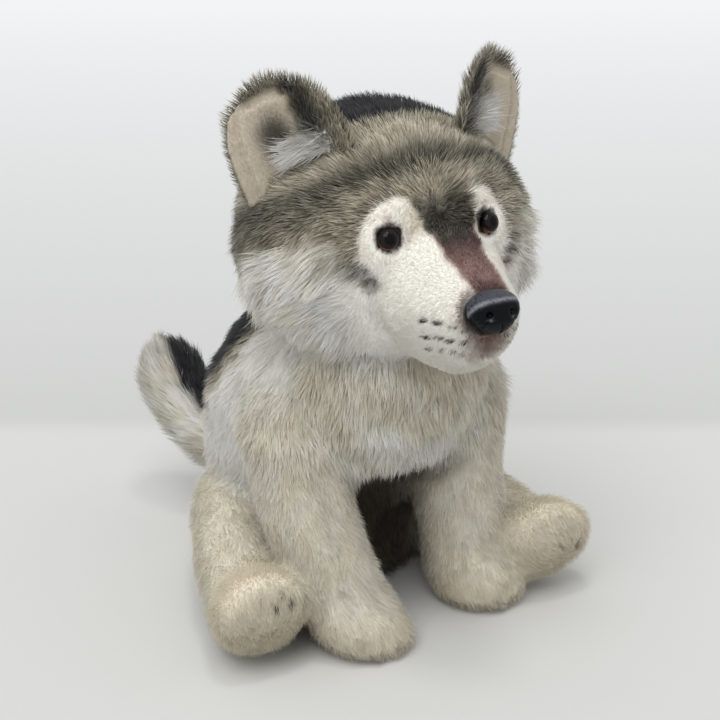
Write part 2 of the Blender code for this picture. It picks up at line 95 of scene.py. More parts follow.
# The dome that shows is smaller than the CAD's, 12.8 across and 4.6 high: dark pile rings it
EYE_RADIUS = 5.0
EYE_DOME = 3.8
EAR_HEIGHT = 58.0
EAR_WIDTH = 62.0
EAR_ROOT = np.array((48.34, -67.54, 248.20))
EAR_UPRIGHT = np.array((0.40, 0.03, 0.91))
EAR_FACING = np.array((0.52, -0.84, 0.08))
EAR_SUNK = 13.0
EAR_DRAWN = (0.87, 0.91)  # the skin's share of the CAD ear's height and width
SIDES = {"right": -1, "left": 1}
FRONT_LEG_LINE = {
    "right": ((-51, -60, 136), (-52, -66, 114), (-48.5, -77.5, 71), (-38.8, -87, 35.5), (-27, -95, 8)),
    "left": ((48, -59, 136), (44, -62, 114), (41, -69, 71), (44, -74.5, 35.5), (50, -79, 8)),
}
HIND_LEG_LINE = ((34, 31, 35), (46, 4, 39), (63, -37, 33), (74, -63, 28), (80, -86, 29), (83, -107, 30))
TAIL_LINE = ((0, 34, 41), (-12, 54, 41), (-28, 75, 48), (-37, 92, 63), (-42, 102, 79), (-44, 111, 96))


def unit(v):
    return v / np.maximum(np.linalg.norm(v, axis=-1, keepdims=True), 1e-9)


def ramp(low, high, value):
    """0 below low, 1 above high, smooth between. high may be the lower of the two."""
    share = np.clip((value - low) / (high - low), 0, 1)
    return share * share * (3 - 2 * share)


def linear(colour):
    """An sRGB colour from 0 to 255 as linear light from 0 to 1."""
    c = np.asarray(colour, float) / 255
    return np.where(c <= 0.04045, c / 12.92, ((c + 0.055) / 1.055) ** 2.4)


def mix(first, second, share):
    """From first to second by a share, which may be one for each row."""
    share = np.asarray(share)
    if share.ndim == 1 and (np.ndim(first) + np.ndim(second) > 2 or np.shape(second) == (3,)):
        share = share[:, None]
    return first + (second - first) * share


def wobble(points, size, seed):
    """Smooth noise from about -1 to 1, with lumps about this size."""
    rng = np.random.default_rng(seed)
    total = np.zeros(len(points))
    waves = 7
    for _ in range(waves):
        direction = unit(rng.normal(size=3)) * 2 * math.pi / (size * rng.uniform(1.2, 2.6))
        total += np.sin(points @ direction + rng.uniform(0, 2 * math.pi))
    return total / math.sqrt(waves)


def spot(points, centre, radius, soft):
    """1 inside a ball of this radius, 0 outside radius + soft."""
    return ramp(radius + soft, radius, np.linalg.norm(points - np.asarray(centre, float), axis=1))


def streak(points, line, radius, soft):
    """1 within this radius of a line through points, 0 beyond radius + soft."""
    nearest = np.full(len(points), 1e9)
    line = np.asarray(line, float)
    for start, end in zip(line, line[1:]):
        along = end - start
        share = np.clip((points - start) @ along / (along @ along), 0, 1)
        gap = np.linalg.norm(points - start - share[:, None] * along, axis=1)
        nearest = np.minimum(nearest, gap)
    return ramp(radius + soft, radius, nearest)


def mirrored(points):
    """The same points, all taken to the wolf's left side."""
    folded = points.copy()
    folded[:, 0] = np.abs(folded[:, 0])
    return folded


# ---- Skins ----


class Skin:
    """A smooth closed surface in millimetres, with its normals and triangles."""

    def __init__(self, points, faces):
        self.points = points
        self.faces = faces
        corners = np.concatenate([faces[:, [0, 1, 2]], faces[:, [0, 2, 3]]])
        self.triangles = corners[(corners[:, 0] != corners[:, 2]) & (corners[:, 1] != corners[:, 2])]
        self.find_normals()

    def find_normals(self):
        a, b, c = (self.points[self.triangles[:, i]] for i in range(3))
        across = np.cross(b - a, c - a)
        total = np.zeros_like(self.points)
        for i in range(3):
            for axis in range(3):
                total[:, axis] += np.bincount(
                    self.triangles[:, i], across[:, axis], minlength=len(self.points)
                )
        self.normals = unit(total)

    def sink(self, depth):
        """Moves each point inward by its own depth."""
        self.points = self.points - self.normals * depth[:, None]

    def smooth(self, rounds, pull=0.5, push=-0.52):
        """Evens out the surface, with a pull inward and then a push outward in each round."""
        edges = np.concatenate([self.faces[:, [i, (i + 1) % 4]] for i in range(4)])
        edges = np.unique(np.sort(edges[edges[:, 0] != edges[:, 1]], axis=1), axis=0)
        count = np.bincount(edges.ravel(), minlength=len(self.points))[:, None]
        for turn in range(rounds * 2):
            total = np.zeros_like(self.points)
            for axis in range(3):
                for here, there in ((0, 1), (1, 0)):
                    total[:, axis] += np.bincount(
                        edges[:, here], self.points[edges[:, there], axis], minlength=len(self.points)
                    )
            share = push if turn % 2 else pull
            self.points = self.points + (total / np.maximum(count, 1) - self.points) * share
        self.find_normals()


def new_object(name, data):
    made = bpy.data.objects.new(name, data)
    bpy.context.scene.collection.objects.link(made)
    return made


def coordinates(mesh, scale=1.0):
    place = np.empty(len(mesh.vertices) * 3)
    mesh.vertices.foreach_get("co", place)
    return place.reshape(-1, 3) / scale


def node_mesh(names):
    """The points and triangles of CAD nodes, together."""
    points, faces, start = [], [], 0
    for name in names:
        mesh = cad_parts[name].data
        mesh.calc_loop_triangles()
        corners = np.empty(len(mesh.loop_triangles) * 3, np.int32)
        mesh.loop_triangles.foreach_get("vertices", corners)
        points.append(coordinates(mesh, MM))
        faces.append(corners.reshape(-1, 3) + start)
        start += len(mesh.vertices)
    return np.concatenate(points), np.concatenate(faces)


def largest_body(points, faces):
    """The connected surface with the most faces, and nothing else."""
    label = np.arange(len(points))
    while True:
        lowest = label[faces].min(axis=1)
        after = label.copy()
        for i in range(faces.shape[1]):
            np.minimum.at(after, faces[:, i], lowest)
        after = after[after]
        if (after == label).all():
            break
        label = after
    names, counts = np.unique(label[faces[:, 0]], return_counts=True)
    keep = label[faces[:, 0]] == names[counts.argmax()]
    used, index = np.unique(faces[keep], return_inverse=True)
    return points[used], index.reshape(-1, faces.shape[1])


def make_skin(names, voxel, rounds):
    """One smooth skin over CAD nodes: their union, remeshed and relaxed."""
    points, faces = node_mesh(names)
    data = bpy.data.meshes.new("joined")
    data.from_pydata((points * MM).tolist(), [], faces.tolist())
    joined = new_object("joined", data)
    remesh = joined.modifiers.new("remesh", "REMESH")
    remesh.mode = "VOXEL"
    remesh.voxel_size = voxel * MM
    graph = bpy.context.evaluated_depsgraph_get()
    made = joined.evaluated_get(graph).to_mesh()
    place = coordinates(made, MM)
    corners = np.array([(*p.vertices, p.vertices[-1])[:4] for p in made.polygons])
    joined.evaluated_get(graph).to_mesh_clear()
    bpy.data.objects.remove(joined)
    bpy.data.meshes.remove(data)
    place, corners = largest_body(place, corners)
    skin = Skin(place, corners)
    skin.smooth(rounds)
    return skin


def draw_in(skin, depth):
    """Moves the skin inward by a depth for each point, and off the floor."""
    skin.sink(depth)
    skin.points[:, 2] = np.maximum(skin.points[:, 2], SKIN_FLOOR)
    skin.smooth(2)
    skin.points[:, 2] = np.maximum(skin.points[:, 2], SKIN_FLOOR)


# ---- Materials ----


def new_material(name):
    material = bpy.data.materials.new(name)
    material.use_nodes = True
    shader = material.node_tree.nodes["Principled BSDF"]
    return material, material.node_tree, shader


def add(tree, kind, **values):
    node = tree.nodes.new(kind)
    for key, value in values.items():
        if key in node.inputs:
            node.inputs[key].default_value = value
        else:
            setattr(node, key, value)
    return node


def wire(source, output, target, socket):
    source.id_data.links.new(source.outputs[output], target.inputs[socket])


def fur_material(name, roughness, sheen, noise_size, variation, through=0.0):
    """Pile coloured by each strand's own colours. Light passes through its fibres by this share."""
    material, tree, shader = new_material(name)
    colours = add(tree, "ShaderNodeVertexColor", layer_name="pile")
    place = add(tree, "ShaderNodeTexCoord")
    noise = add(tree, "ShaderNodeTexNoise", Scale=1 / (noise_size * MM), Detail=3.0)
    wire(place, "Object", noise, "Vector")
    levels = {"From Min": 0.3, "From Max": 0.7, "To Min": 1 - variation, "To Max": 1 + variation * 0.5}
    level = add(tree, "ShaderNodeMapRange", **levels)
    wire(noise, "Fac", level, "Value")
    shade = add(tree, "ShaderNodeVectorMath", operation="SCALE")
    wire(colours, "Color", shade, 0)
    wire(level, "Result", shade, "Scale")
    wire(shade, "Vector", shader, "Base Color")
    rough = add(tree, "ShaderNodeMapRange", **{"To Min": roughness - 0.08, "To Max": roughness + 0.08})
    wire(noise, "Fac", rough, "Value")
    wire(rough, "Result", shader, "Roughness")
    bump = add(tree, "ShaderNodeBump", Strength=0.25, Distance=0.3 * MM)
    wire(noise, "Fac", bump, "Height")
    wire(bump, "Normal", shader, "Normal")
    shader.inputs["Sheen Weight"].default_value = sheen
    shader.inputs["Sheen Roughness"].default_value = 0.6
    shader.inputs["Specular IOR Level"].default_value = 0.25
    if through:
        glow = add(tree, "ShaderNodeBsdfTranslucent")
        wire(shade, "Vector", glow, "Color")
        blend = add(tree, "ShaderNodeMixShader")
        blend.inputs["Fac"].default_value = through
        wire(shader, "BSDF", blend, 1)
        wire(glow, "BSDF", blend, 2)
        wire(blend, "Shader", tree.nodes["Material Output"], "Surface")
    return material


def set_colours(mesh, name, colours):
    layer = mesh.color_attributes.new(name, "FLOAT_COLOR", "POINT")
    rgba = np.ones((len(colours), 4), np.float32)
    rgba[:, :3] = colours
    layer.data.foreach_set("color", rgba.ravel())


def link_piece(name, mesh, material):
    piece = new_object(name, mesh)
    mesh.materials.append(material)
    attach(piece, "root")
    return piece


def skin_piece(name, skin, colours, material, nodes):
    mesh = bpy.data.meshes.new(name)
    faces = [tuple(dict.fromkeys(face)) for face in skin.faces.tolist()]
    mesh.from_pydata((skin.points * MM).tolist(), [], faces)
    mesh.shade_smooth()
    set_colours(mesh, "pile", colours)
    piece = link_piece(name, mesh, material)
    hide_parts(*nodes)


# ---- Pile ----

DENSITY_SCALE = 0.80


class Pile:
    """How the pile looks at each of a set of points. Every field is an array over them."""

    def __init__(self, normals, length, lift, comb, droop, density):
        count = len(normals)
        self.normals = normals
        fields = {"length": length, "lift": lift, "droop": droop, "density": density, "frizz": 0.13}
        for field, value in fields.items():
            setattr(self, field, np.broadcast_to(np.asarray(value, float), count).copy())
        flat = comb - normals * (comb * normals).sum(1)[:, None]
        self.comb = unit(flat + 1e-6 * normals[:, [1, 2, 0]])
        self.root, self.middle, self.tip = (np.zeros((count, 3)) for _ in range(3))

    def only(self, mask):
        """The same pile at some of its points."""
        part = object.__new__(Pile)
        for field, value in vars(self).items():
            setattr(part, field, value[mask])
        return part

    def paint(self, look, share=None):
        """Lays a look, (root, middle, tip), over what is there, by a share for each point."""
        for field, colour in zip(("root", "middle", "tip"), look):
            value = linear(colour)
            if share is None:
                setattr(self, field, np.broadcast_to(value, self.root.shape).copy())
            else:
                setattr(self, field, mix(getattr(self, field), value, share))


# Looks: the colour of a strand at its root, its middle and its tip
WHITE = ((238, 236, 229), (247, 246, 242), (251, 250, 248))
CREAM = ((212, 204, 183), (230, 224, 206), (240, 235, 222))
LEG = ((228, 224, 212), (238, 235, 226), (244, 242, 235))
MUZZLE_WHITE = ((234, 231, 223), (237, 235, 228), (240, 238, 232))
PATCH = ((200, 190, 172), (220, 212, 196), (234, 228, 216))
FROSTED = ((88, 82, 69), (174, 166, 144), (230, 224, 206))
FROSTED_LIGHT = ((140, 132, 115), (206, 199, 180), (236, 231, 217))
BAND = ((44, 42, 37), (90, 87, 76), (160, 156, 141))
CHARCOAL = ((22, 22, 24), (44, 44, 47), (84, 84, 87))
BROW_DARK = ((30, 28, 25), (60, 57, 50), (150, 144, 127))
STRIPE = ((96, 68, 65), (136, 99, 94), (178, 144, 138))
STRIPE_DARK = ((46, 30, 29), (70, 48, 45), (104, 78, 73))
HALO = ((150, 112, 98), (190, 152, 136), (212, 180, 164))
CHIN_BROWN = ((98, 68, 58), (136, 102, 90), (174, 146, 134))
MOUTH = ((62, 40, 38), (84, 56, 52), (106, 76, 70))
LINER = ((24, 18, 16), (34, 26, 22), (52, 40, 33))
LID_BROWN = ((120, 92, 74), (160, 132, 112), (190, 168, 150))
MARK = ((34, 30, 26), (46, 41, 36), (66, 60, 53))
LINING = ((190, 179, 161), (202, 192, 175), (212, 203, 188))
LINING_SHADE = ((46, 44, 38), (72, 69, 60), (104, 100, 90))
SMUDGE = ((60, 54, 48), (92, 85, 75), (150, 142, 128))
FOOT = ((226, 218, 200), (234, 228, 212), (241, 236, 224))
TAIL_STREAK = ((110, 102, 90), (168, 160, 144), (206, 200, 186))
TOE = ((34, 30, 28), (42, 37, 35), (56, 50, 47))
RUST = ((104, 60, 50), (122, 74, 62), (138, 92, 80))
# Painted shade, for the belly behind the front legs
BELLY_SHADE = ((62, 55, 40), (88, 79, 60), (116, 106, 84))


def angles(points):
    """Degrees round the head from its front, and up from its centre."""
    d = points - HEAD_CENTRE
    side = np.abs(d[:, 0])
    return (
        np.degrees(np.arctan2(side, -d[:, 1])),
        np.degrees(np.arctan2(d[:, 2], np.hypot(side, d[:, 1]))),
    )


# The cap's lower edge and the middles of its dark bands, as degrees round and degrees up
CAP_EDGE = (
    (0, 10, 13, 16, 19, 27, 35, 40, 43, 44.5, 46, 50, 55, 61, 68, 78, 91, 105, 120, 140, 180),
    (21, 23, 27, 34, 39, 42, 39, 34, 29, 21, 14, 15, 20, 20, 18, 12, 4, -3, -16, -40, -60),
)
BAND_LINE = ((0, 9, 24, 39, 60, 71, 86, 110, 180), (61, 60, 57, 54, 43, 34, 24, 13, 8))
LOW_BAND_LINE = ((0, 40, 60, 80, 110), (60, 40, 30, 17, 0))
# The bridge's stripe, its middle and half width along the muzzle
STRIPE_MIDDLE = ((-160, -150, -140, -125, -115), (4.5, 6.0, 6.4, 5.8, 5.0))
STRIPE_HALF = ((-160, -150, -140, -125, -115), (8.5, 9.0, 9.8, 10.6, 12.5))
WHISKER_ROWS = (
    ((25, -147, 188.5), (21, -153, 189), (16, -159, 188), (11, -161.5, 186)),
    ((24, -148, 181), (21, -154, 182), (17, -157, 181), (11, -160, 180)),
    ((23, -148, 175), (20, -154, 175.5), (15, -157, 175), (11, -158, 173)),
)
LIP_LINE = ((0.5, -162, 181), (1.0, -161, 173))
MOUTH_LINE = ((0.5, -160, 172.0), (4.4, -158, 170), (9.3, -156.5, 168.7), (15, -153, 168))
SMUDGE_LINE = ((46, -112, 211), (43, -115, 207), (39, -118, 203), (36, -120, 199))
FACE_SHIFT = 3.8  # the face's middle lies this far to the wolf's left of the muzzle's


def eye_frame(side):
    """An eye's apex and the way that it faces, from its CAD stem and washer."""
    washer = node_mesh(["eye_washer_" + side])[0].mean(0)
    points = node_mesh(["eye_" + side])[0]
    away = np.linalg.norm(points - washer, axis=1)
    facing = unit(washer - points[away > away.max() * 0.95].mean(0))
    return washer + facing * ((points - washer) @ facing).max(), facing


EYES = {side: eye_frame(side) for side in SIDES}


def head_pile(points, normals):
    """The cap, face, cheek ruffs and muzzle. lon is degrees round from the front, lat degrees up."""
    x, y, z = points.T
    turned = points.copy()
    turned[:, 0] -= FACE_SHIFT * np.exp(-(((x - 5) / 22) ** 2)) * ramp(-95, -105, y)
    lon, lat = angles(turned)
    folded = mirrored(points)
    side = folded[:, 0]
    edge = np.interp(lon, *CAP_EDGE) + 1.5 * wobble(points, 8, 3)
    cap = ramp(-1.2, 1.8, lat - edge)
    muzzle = ramp(-116, -124, y) * ramp(42, 36, side)
    back = ramp(-60, -45, y)
    ruff = (1 - cap) * ramp(38, 60, lon) * (1 - muzzle)
    under = ramp(166, 156, z) * (1 - muzzle)

    length = mix(3.8, 7.6, cap * ramp(15, 45, lon + lat * 0.6))
    overhang = ramp(10, 5, np.hypot(x - 14, (z - 230) * 0.7)) * ramp(-100, -106, y)
    length = length + 3.0 * overhang
    tuft = 0.5 + 0.5 * wobble(points, 13, 8)
    length = mix(length, 14.5 + 4.5 * tuft, ruff)
    length = mix(length, 2.5, muzzle)
    length = mix(length, 10.0, np.maximum(back * 0.6, under * 0.8))
    lift = 0.40 + 0.04 * cap - 0.04 * muzzle - 0.06 * ruff
    from_brow = unit(points - BROW)
    from_muzzle = unit(points - np.array((0, -150, 192)))
    sweep = from_brow - UP * (0.9 * ramp(38, 5, lat) * ramp(40, 70, lon))[:, None]
    sway = np.stack([wobble(points, 14, seed) for seed in (24, 25, 26)], axis=1)
    fall = unit(from_muzzle - UP * 0.9) + 0.35 * sway
    comb = mix(fall, sweep, cap)
    comb = mix(comb, unit(points - (NOSE_CENTRE + (0, 0, 3))), muzzle)
    density = mix(1.5, 2.2, ramp(12, 6, length))
    density = mix(density, 3.9, muzzle)
    density = density * mix(1.0, 0.4, ramp(-35, -55, lat) * (1 - muzzle))
    pile = Pile(normals, length, lift, comb, 0.25 * (1 - cap), density)

    pile.paint(WHITE)
    pile.paint(MUZZLE_WHITE, muzzle)
    pile.paint(CREAM, ruff * (0.25 + 0.25 * wobble(points, 10, 7)))
    # The pale patch over each eye is beige toward the brow, and the cheek has a dark smudge
    patch = ramp(50, 44, lon) * ramp(8, 14, lat) * (1 - muzzle) * (1 - cap)
    pile.paint(PATCH, patch * (0.4 + 0.6 * ramp(24, 16, lon)))
    smudge = streak(folded, SMUDGE_LINE, 2.6, 3.4)
    pile.paint(SMUDGE, smudge * np.clip(0.75 + 0.35 * wobble(points, 2.2, 9), 0, 0.95))
    bridge = ramp(42, 45, lon) * ramp(58, 52, lon) * ramp(6, 12, lat) * ramp(30, 22, lat) * (1 - muzzle)
    pile.paint(FROSTED, bridge * np.clip(0.55 + 0.5 * wobble(points, 3.5, 19), 0, 1))
    pile.length = mix(pile.length, 6.0, bridge)
    # The stripe on the nose's bridge, and brown under and round the nose
    centre = np.interp(y, *STRIPE_MIDDLE)
    half = np.interp(y, *STRIPE_HALF) + 0.5 * wobble(points, 5, 12)
    stripe = ramp(half + 1.6, half - 1.2, np.abs(x - centre)) * ramp(-110, -116, y)
    stripe = stripe * ramp(188, 197, z + (y + 160) * 0.05)
    edges = ramp(half + 3.0, half, np.abs(x - centre)) * ramp(-116, -124, y) * ramp(190, 197, z)
    pile.paint(HALO, edges * 0.5)
    uneven = 0.88 + 0.10 * wobble(points, 3, 11) + 0.10 * wobble(points, 1.0, 17)
    pile.paint(STRIPE, stripe * np.clip(uneven, 0, 1))
    fleck = np.clip(0.85 + 0.25 * wobble(points, 1.1, 18), 0, 1)
    pile.paint(STRIPE_DARK, stripe * np.maximum(ramp(-142, -122, y), ramp(-149, -156, y)) * fleck)
    around = np.hypot((x - 0.5) / 14.6, (z - 191.5) / 12.2)
    near_nose = ramp(-148, -154, y) * ramp(206, 198, z)
    pile.paint(HALO, ramp(1.22, 1.0, around + 0.03 * wobble(points, 4, 14)) * near_nose * 0.22)
    pile.paint(STRIPE_DARK, ramp(1.03, 0.95, around) * near_nose * 0.7)
    chin = np.hypot((x - 2.0) / 13.0, (z - 177.5) / 10.0) + 0.16 * wobble(points, 2.5, 13)
    pile.paint(CHIN_BROWN, ramp(1.25, 0.20, chin) * ramp(-148, -153, y) * 0.8)
    # The cap, its bands and the brow
    base = 0.5 + 0.5 * wobble(points, 12, 5)
    pile.paint(FROSTED, cap)
    band_gap = lat - np.interp(lon, *BAND_LINE)
    above = ramp(3, 8, band_gap) * ramp(26, 18, band_gap)
    below = ramp(-5, -10, band_gap)
    pile.paint(FROSTED_LIGHT, cap * np.clip(0.85 * above + 0.55 * below * base, 0, 1))
    band_gap = band_gap + 1.6 * wobble(points, 7, 6)
    pile.paint(BAND, cap * np.exp(-((band_gap / 6.5) ** 2)) * 0.95)
    low_band = lat - 2 - np.interp(lon, *LOW_BAND_LINE)
    pile.paint(BAND, cap * np.exp(-((low_band / 4.5) ** 2)) * 0.55 * ramp(45, 60, lon))
    nape_line = -77 + 3.0 * ramp(0, 40, side) + 0.9 * wobble(points, 6, 15)
    nape = np.maximum(ramp(-1.5, 2.5, y - nape_line) * ramp(30, 46, z - 205), ramp(-44, -26, y))
    pile.paint(CHARCOAL, cap * nape)
    brow_shape = np.hypot((x - 5) / 21, (lat - 29) / 13)
    brow_shape = brow_shape + 0.12 * wobble(points, 3, 16)
    pile.paint(BROW_DARK, np.maximum(cap, stripe) * ramp(1.25, 0.5, brow_shape) * ramp(-98, -107, y))
    # The eyelids
    for sign, (apex, facing) in zip((SIDES[s] for s in EYES), EYES.values()):
        d = points - apex
        flat = d - facing * (d @ facing)[:, None]
        gap = np.linalg.norm(flat, axis=1)
        near = ramp(16, 12, np.linalg.norm(d, axis=1))
        toward_nose = flat @ unit(np.array((-sign, 0, 0)))
        lid = gap - 1.1 * ramp(-2, 5, flat[:, 2]) - 0.9 * ramp(0, 6, toward_nose)
        brown = np.linalg.norm(flat - np.array((-sign * 0.5, 0, 9.0)), axis=1)
        pile.paint(LID_BROWN, near * ramp(4.2, 1.5, brown) * 0.8)
        corner = np.linalg.norm((flat - np.array((-sign * 8.0, 0, -3.0))) / (1, 1, 1.6), axis=1)
        pile.paint(LID_BROWN, near * ramp(4.0, 1.0, corner) * 0.8)
        pile.paint(LINER, near * ramp(6.5, 5.6, lid))
        pile.length = mix(pile.length, 2.2, near * ramp(14, 8, gap))
        pile.length = mix(pile.length, 1.3, near * ramp(8.5, 7.0, gap))
        pile.comb = unit(mix(pile.comb, unit(flat), near * ramp(12, 8, gap)))
    # Whisker rows and the mouth
    mark = np.zeros(len(points))
    for row in WHISKER_ROWS:
        for place in row:
            offset = (folded - np.asarray(place, float)) / (2.9, 2.9, 0.95)
            mark = np.maximum(mark, ramp(1.2, 0.6, np.linalg.norm(offset, axis=1)))
    pile.paint(MARK, mark * muzzle)
    mouth = streak(points, LIP_LINE, 0.6, 2.6)
    crease = streak(folded, MOUTH_LINE, 0.2, 1.3)
    pile.paint(MOUTH, muzzle * mouth * 0.85 * ramp(182, 174, z))
    # The mouth's crease is painted darker, as painted shade in it
    pile.paint(TAIL_STREAK, muzzle * crease * 0.75)
    pile.frizz = 0.13 + 0.12 * ruff - 0.05 * muzzle
    return pile


def ear_frame(side):
    """The ear's root, and its ways up, outward across it and forward."""
    flip = np.array((SIDES[side], 1, 1))
    upright = unit(EAR_UPRIGHT * flip)
    facing = EAR_FACING * flip
    facing = unit(facing - upright * (facing @ upright))
    outer = np.cross(facing, upright) * -SIDES[side]
    root = EAR_ROOT * flip - upright * EAR_SUNK
    return root, upright, outer, facing


def ear_place(points, side):
    """Height up the ear, 0 to 1, and place across it, -1 at its inner edge to 1 at its outer."""
    root, upright, outer, _ = ear_frame(side)
    d = points - root
    height = d @ upright / EAR_HEIGHT
    half = EAR_WIDTH / 2 * np.sqrt(np.maximum(1 - 0.92 * np.clip(height, 0, 1) ** 4, 0.05))
    return height, d @ outer / half


def shrink_ear(skin, side):
    """Draws the ear in from its rim, so that its fringe ends where the CAD ear does."""
    root, upright, outer, _ = ear_frame(side)
    d = skin.points - root
    up = np.maximum(d @ upright, 0)
    d = d - upright * (up * (1 - EAR_DRAWN[0]))[:, None]
    d = d - outer * ((d @ outer) * (1 - EAR_DRAWN[1]))[:, None]
    skin.points = root + d
    skin.find_normals()


# How far in from its inner edge the lining starts, which the two ears' different curl sets
LINING_START = {"right": -0.30, "left": -0.62}
TUFT_PLACE = {"right": (-0.30, 0.30), "left": (-0.50, 0.40)}


def ear_pile(side):
    _, upright, outer, facing = ear_frame(side)
    start = LINING_START[side]
    tuft_across, tuft_height = TUFT_PLACE[side]

    def pile_at(points, normals):
        height, across = ear_place(points, side)
        height, across = height / EAR_DRAWN[0], across / EAR_DRAWN[1]
        front = ramp(-0.1, 0.35, normals @ facing)
        rim = np.maximum(across, np.clip(height, 0, 1.2) + 0.04)
        inner = across - start - 0.22 * ramp(0.3, 0.0, height)
        inside = front * ramp(0.98, 0.90, rim) * ramp(-0.06, 0.10, inner + 0.05 * wobble(points, 5, 22))
        inside = inside * ramp(0.10, 0.22, height + 0.16 * ramp(0.45, 0.7, across))
        length = mix(6.6 - 2.4 * ramp(0.70, 0.92, across) * ramp(0.85, 0.6, height), 1.3, inside)
        length = length + 2.5 * (1 - inside) * ramp(-0.5, -0.9, across) * (side == "left")
        lift = mix(0.40, 0.42, inside)
        comb = upright * (0.75 + 0.4 * np.clip(height, 0, 1))[:, None] + outer * (across * 0.6)[:, None]
        density = mix(2.2, 3.4, inside)
        pile = Pile(normals, length, lift, comb, 0.0, density)
        pile.paint(FROSTED)
        pile.paint(FROSTED_LIGHT, 0.5 * ramp(0.2, 0.8, across) * (1 - inside))
        pile.paint(CHARCOAL, ramp(0.10, -0.16, inner) * ramp(-0.5, -0.25, inner) * front * 0.85)
        pile.paint(BAND, ramp(0.7, 0.95, rim) * 0.5 * (1 - inside))
        pile.paint(LINING, inside)
        bowl = np.hypot((across - start - 0.42) / 0.34, (height - 0.50) / 0.27)
        shade = ramp(1.45, 0.25, bowl + 0.05 * wobble(points, 9, 21))
        pile.paint(LINING_SHADE, inside * shade * 0.95)
        tuft = np.hypot((across - tuft_across) / 0.34, (height - tuft_height) / 0.15)
        tuft = front * ramp(1.35, 0.55, tuft + 0.35 * wobble(points, 1.3, 27))
        pile.paint(WHITE, tuft)
        pile.length = mix(pile.length, 16.0, tuft)
        pile.lift = mix(pile.lift, 0.34, tuft)
        sway = 0.35 * wobble(points, 5, 28)
        pile.comb = unit(mix(pile.comb, unit(outer + upright * (0.12 + sway)[:, None]), tuft))
        return pile

    return pile_at


# The saddle's edge: degrees round from the back, at each height
SADDLE_EDGE = ((0, 20, 60, 90, 113, 129, 144, 160), (12, 18, 30, 50, 80, 93, 103, 110))


def belly_hollow(points, normals):
    """1 on the belly just behind the front legs, where the toy is only loosely filled."""
    x, y, z = points.T
    between_legs = ramp(44, 26, np.abs(x)) * ramp(96, 74, z) * ramp(-30, -50, y)
    return between_legs * ramp(0.1, -0.5, normals[:, 1])


def torso_pile(points, normals):
    """White flanks, a cream chest and a dark saddle, with painted shade under the chin and behind the
    front legs.
    """
    side = np.abs(points[:, 0])
    x, y, z = points.T
    turn = np.degrees(np.arctan2(side, y + 20))
    edge = np.interp(z, *SADDLE_EDGE)
    saddle_gap = turn - edge + 4 * wobble(points, 12, 31) + 2 * wobble(points, 4, 34)
    chest = ramp(-64, -84, y)
    length = mix(10.5, 13.0, chest * ramp(70, 100, z))
    length = mix(length, 9.5, ramp(5, -8, saddle_gap))
    length = mix(length, 7.0, ramp(60, 20, z))
    comb = np.stack([x * 0.004, 0.35 * ramp(-80, 0, y), np.full(len(x), -1.0)], axis=1)
    density = 1.45 * mix(1.0, 0.35, ramp(8, 2, z))
    pile = Pile(normals, length, 0.30, comb, 0.25, density)
    pile.paint(WHITE)
    # The chest is cream by a random tone, and creamier under the chin, as painted shade under the head
    lump = 0.5 + 0.5 * wobble(points, 16, 33)
    shade_under_head = ramp(112, 124, z) * ramp(160, 148, z)
    pile.paint(CREAM, chest * np.clip(0.10 + 0.45 * lump + 0.35 * shade_under_head, 0, 0.8))
    pile.paint(FROSTED_LIGHT, ramp(9, 0, saddle_gap) * 0.7)
    pile.paint(FROSTED, ramp(3, -5, saddle_gap) * 0.9)
    pile.paint(CHARCOAL, ramp(-3, -13, saddle_gap))
    pile.frizz = 0.26 - 0.10 * ramp(5, -8, saddle_gap)
    # The belly behind the front legs is painted dark brown, as painted shade in the gap between them
    shade_behind_legs = ramp(46, 34, side) * ramp(98, 80, z) * ramp(-12, -32, y)
    pile.paint(BELLY_SHADE, shade_behind_legs * ramp(0.3, -0.3, normals[:, 1]) * 0.95)
    return pile


def along_line(points, line):
    """How far along a line each point is, 0 to 1, the line's direction there, and its place."""
    line = np.asarray(line, float)
    lengths = np.linalg.norm(np.diff(line, axis=0), axis=1)
    starts = np.concatenate([[0], np.cumsum(lengths)])
    nearest = np.full(len(points), 1e9)
    share = np.zeros(len(points))
    place = np.zeros((len(points), 3))
    for i, (start, end) in enumerate(zip(line, line[1:])):
        along = end - start
        part = np.clip((points - start) @ along / (along @ along), 0, 1)
        at = start + part[:, None] * along
        gap = np.linalg.norm(points - at, axis=1)
        closer = gap < nearest
        nearest = np.where(closer, gap, nearest)
        share = np.where(closer, (starts[i] + part * lengths[i]) / starts[-1], share)
        place = np.where(closer[:, None], at, place)
    knots = starts / starts[-1]
    middles = (knots[1:] + knots[:-1]) / 2
    heading = [np.interp(share, middles, np.diff(line[:, a]) / lengths) for a in range(3)]
    return share, unit(np.stack(heading, axis=1)), place


def front_leg_pile(side):
    claws = CLAWS[side]

    def pile_at(points, normals):
        _, heading, _ = along_line(points, FRONT_LEG_LINE[side])
        z = points[:, 2]
        paw = ramp(28, 14, z)
        length = mix(6.6, 5.2, paw)
        length = mix(length, 10.5, ramp(85, 120, z))
        comb = mix(heading, unit(np.array((0.0, -0.8, -0.6))), paw * ramp(0.2, -0.4, normals[:, 1]))
        density = 1.85 * mix(1.0, 0.3, ramp(-0.7, -0.95, normals[:, 2]))
        pile = Pile(normals, length, mix(0.38, 0.46, paw), comb, 0.12, density)
        pile.paint(LEG)
        lump = 0.5 + 0.5 * wobble(points, 11, 41)
        pile.paint(CREAM, np.clip(0.1 + 0.4 * lump, 0, 1))
        pile.frizz = 0.16 + 0.10 * paw
        pile.paint(FOOT, paw * 0.8)
        for claw in claws:
            pile.paint(RUST, spot(points, claw, 1.2, 3.4) * 0.35)
        for groove in TOE_GROOVES[side]:
            # The grooves between the toes are painted creamier, as painted shade in them
            pile.paint(CREAM, streak(points, groove, 0.5, 2.5) * 0.8)
            pile.length = mix(pile.length, 3.6, streak(points, groove, 0.5, 2.0))
        return pile

    return pile_at


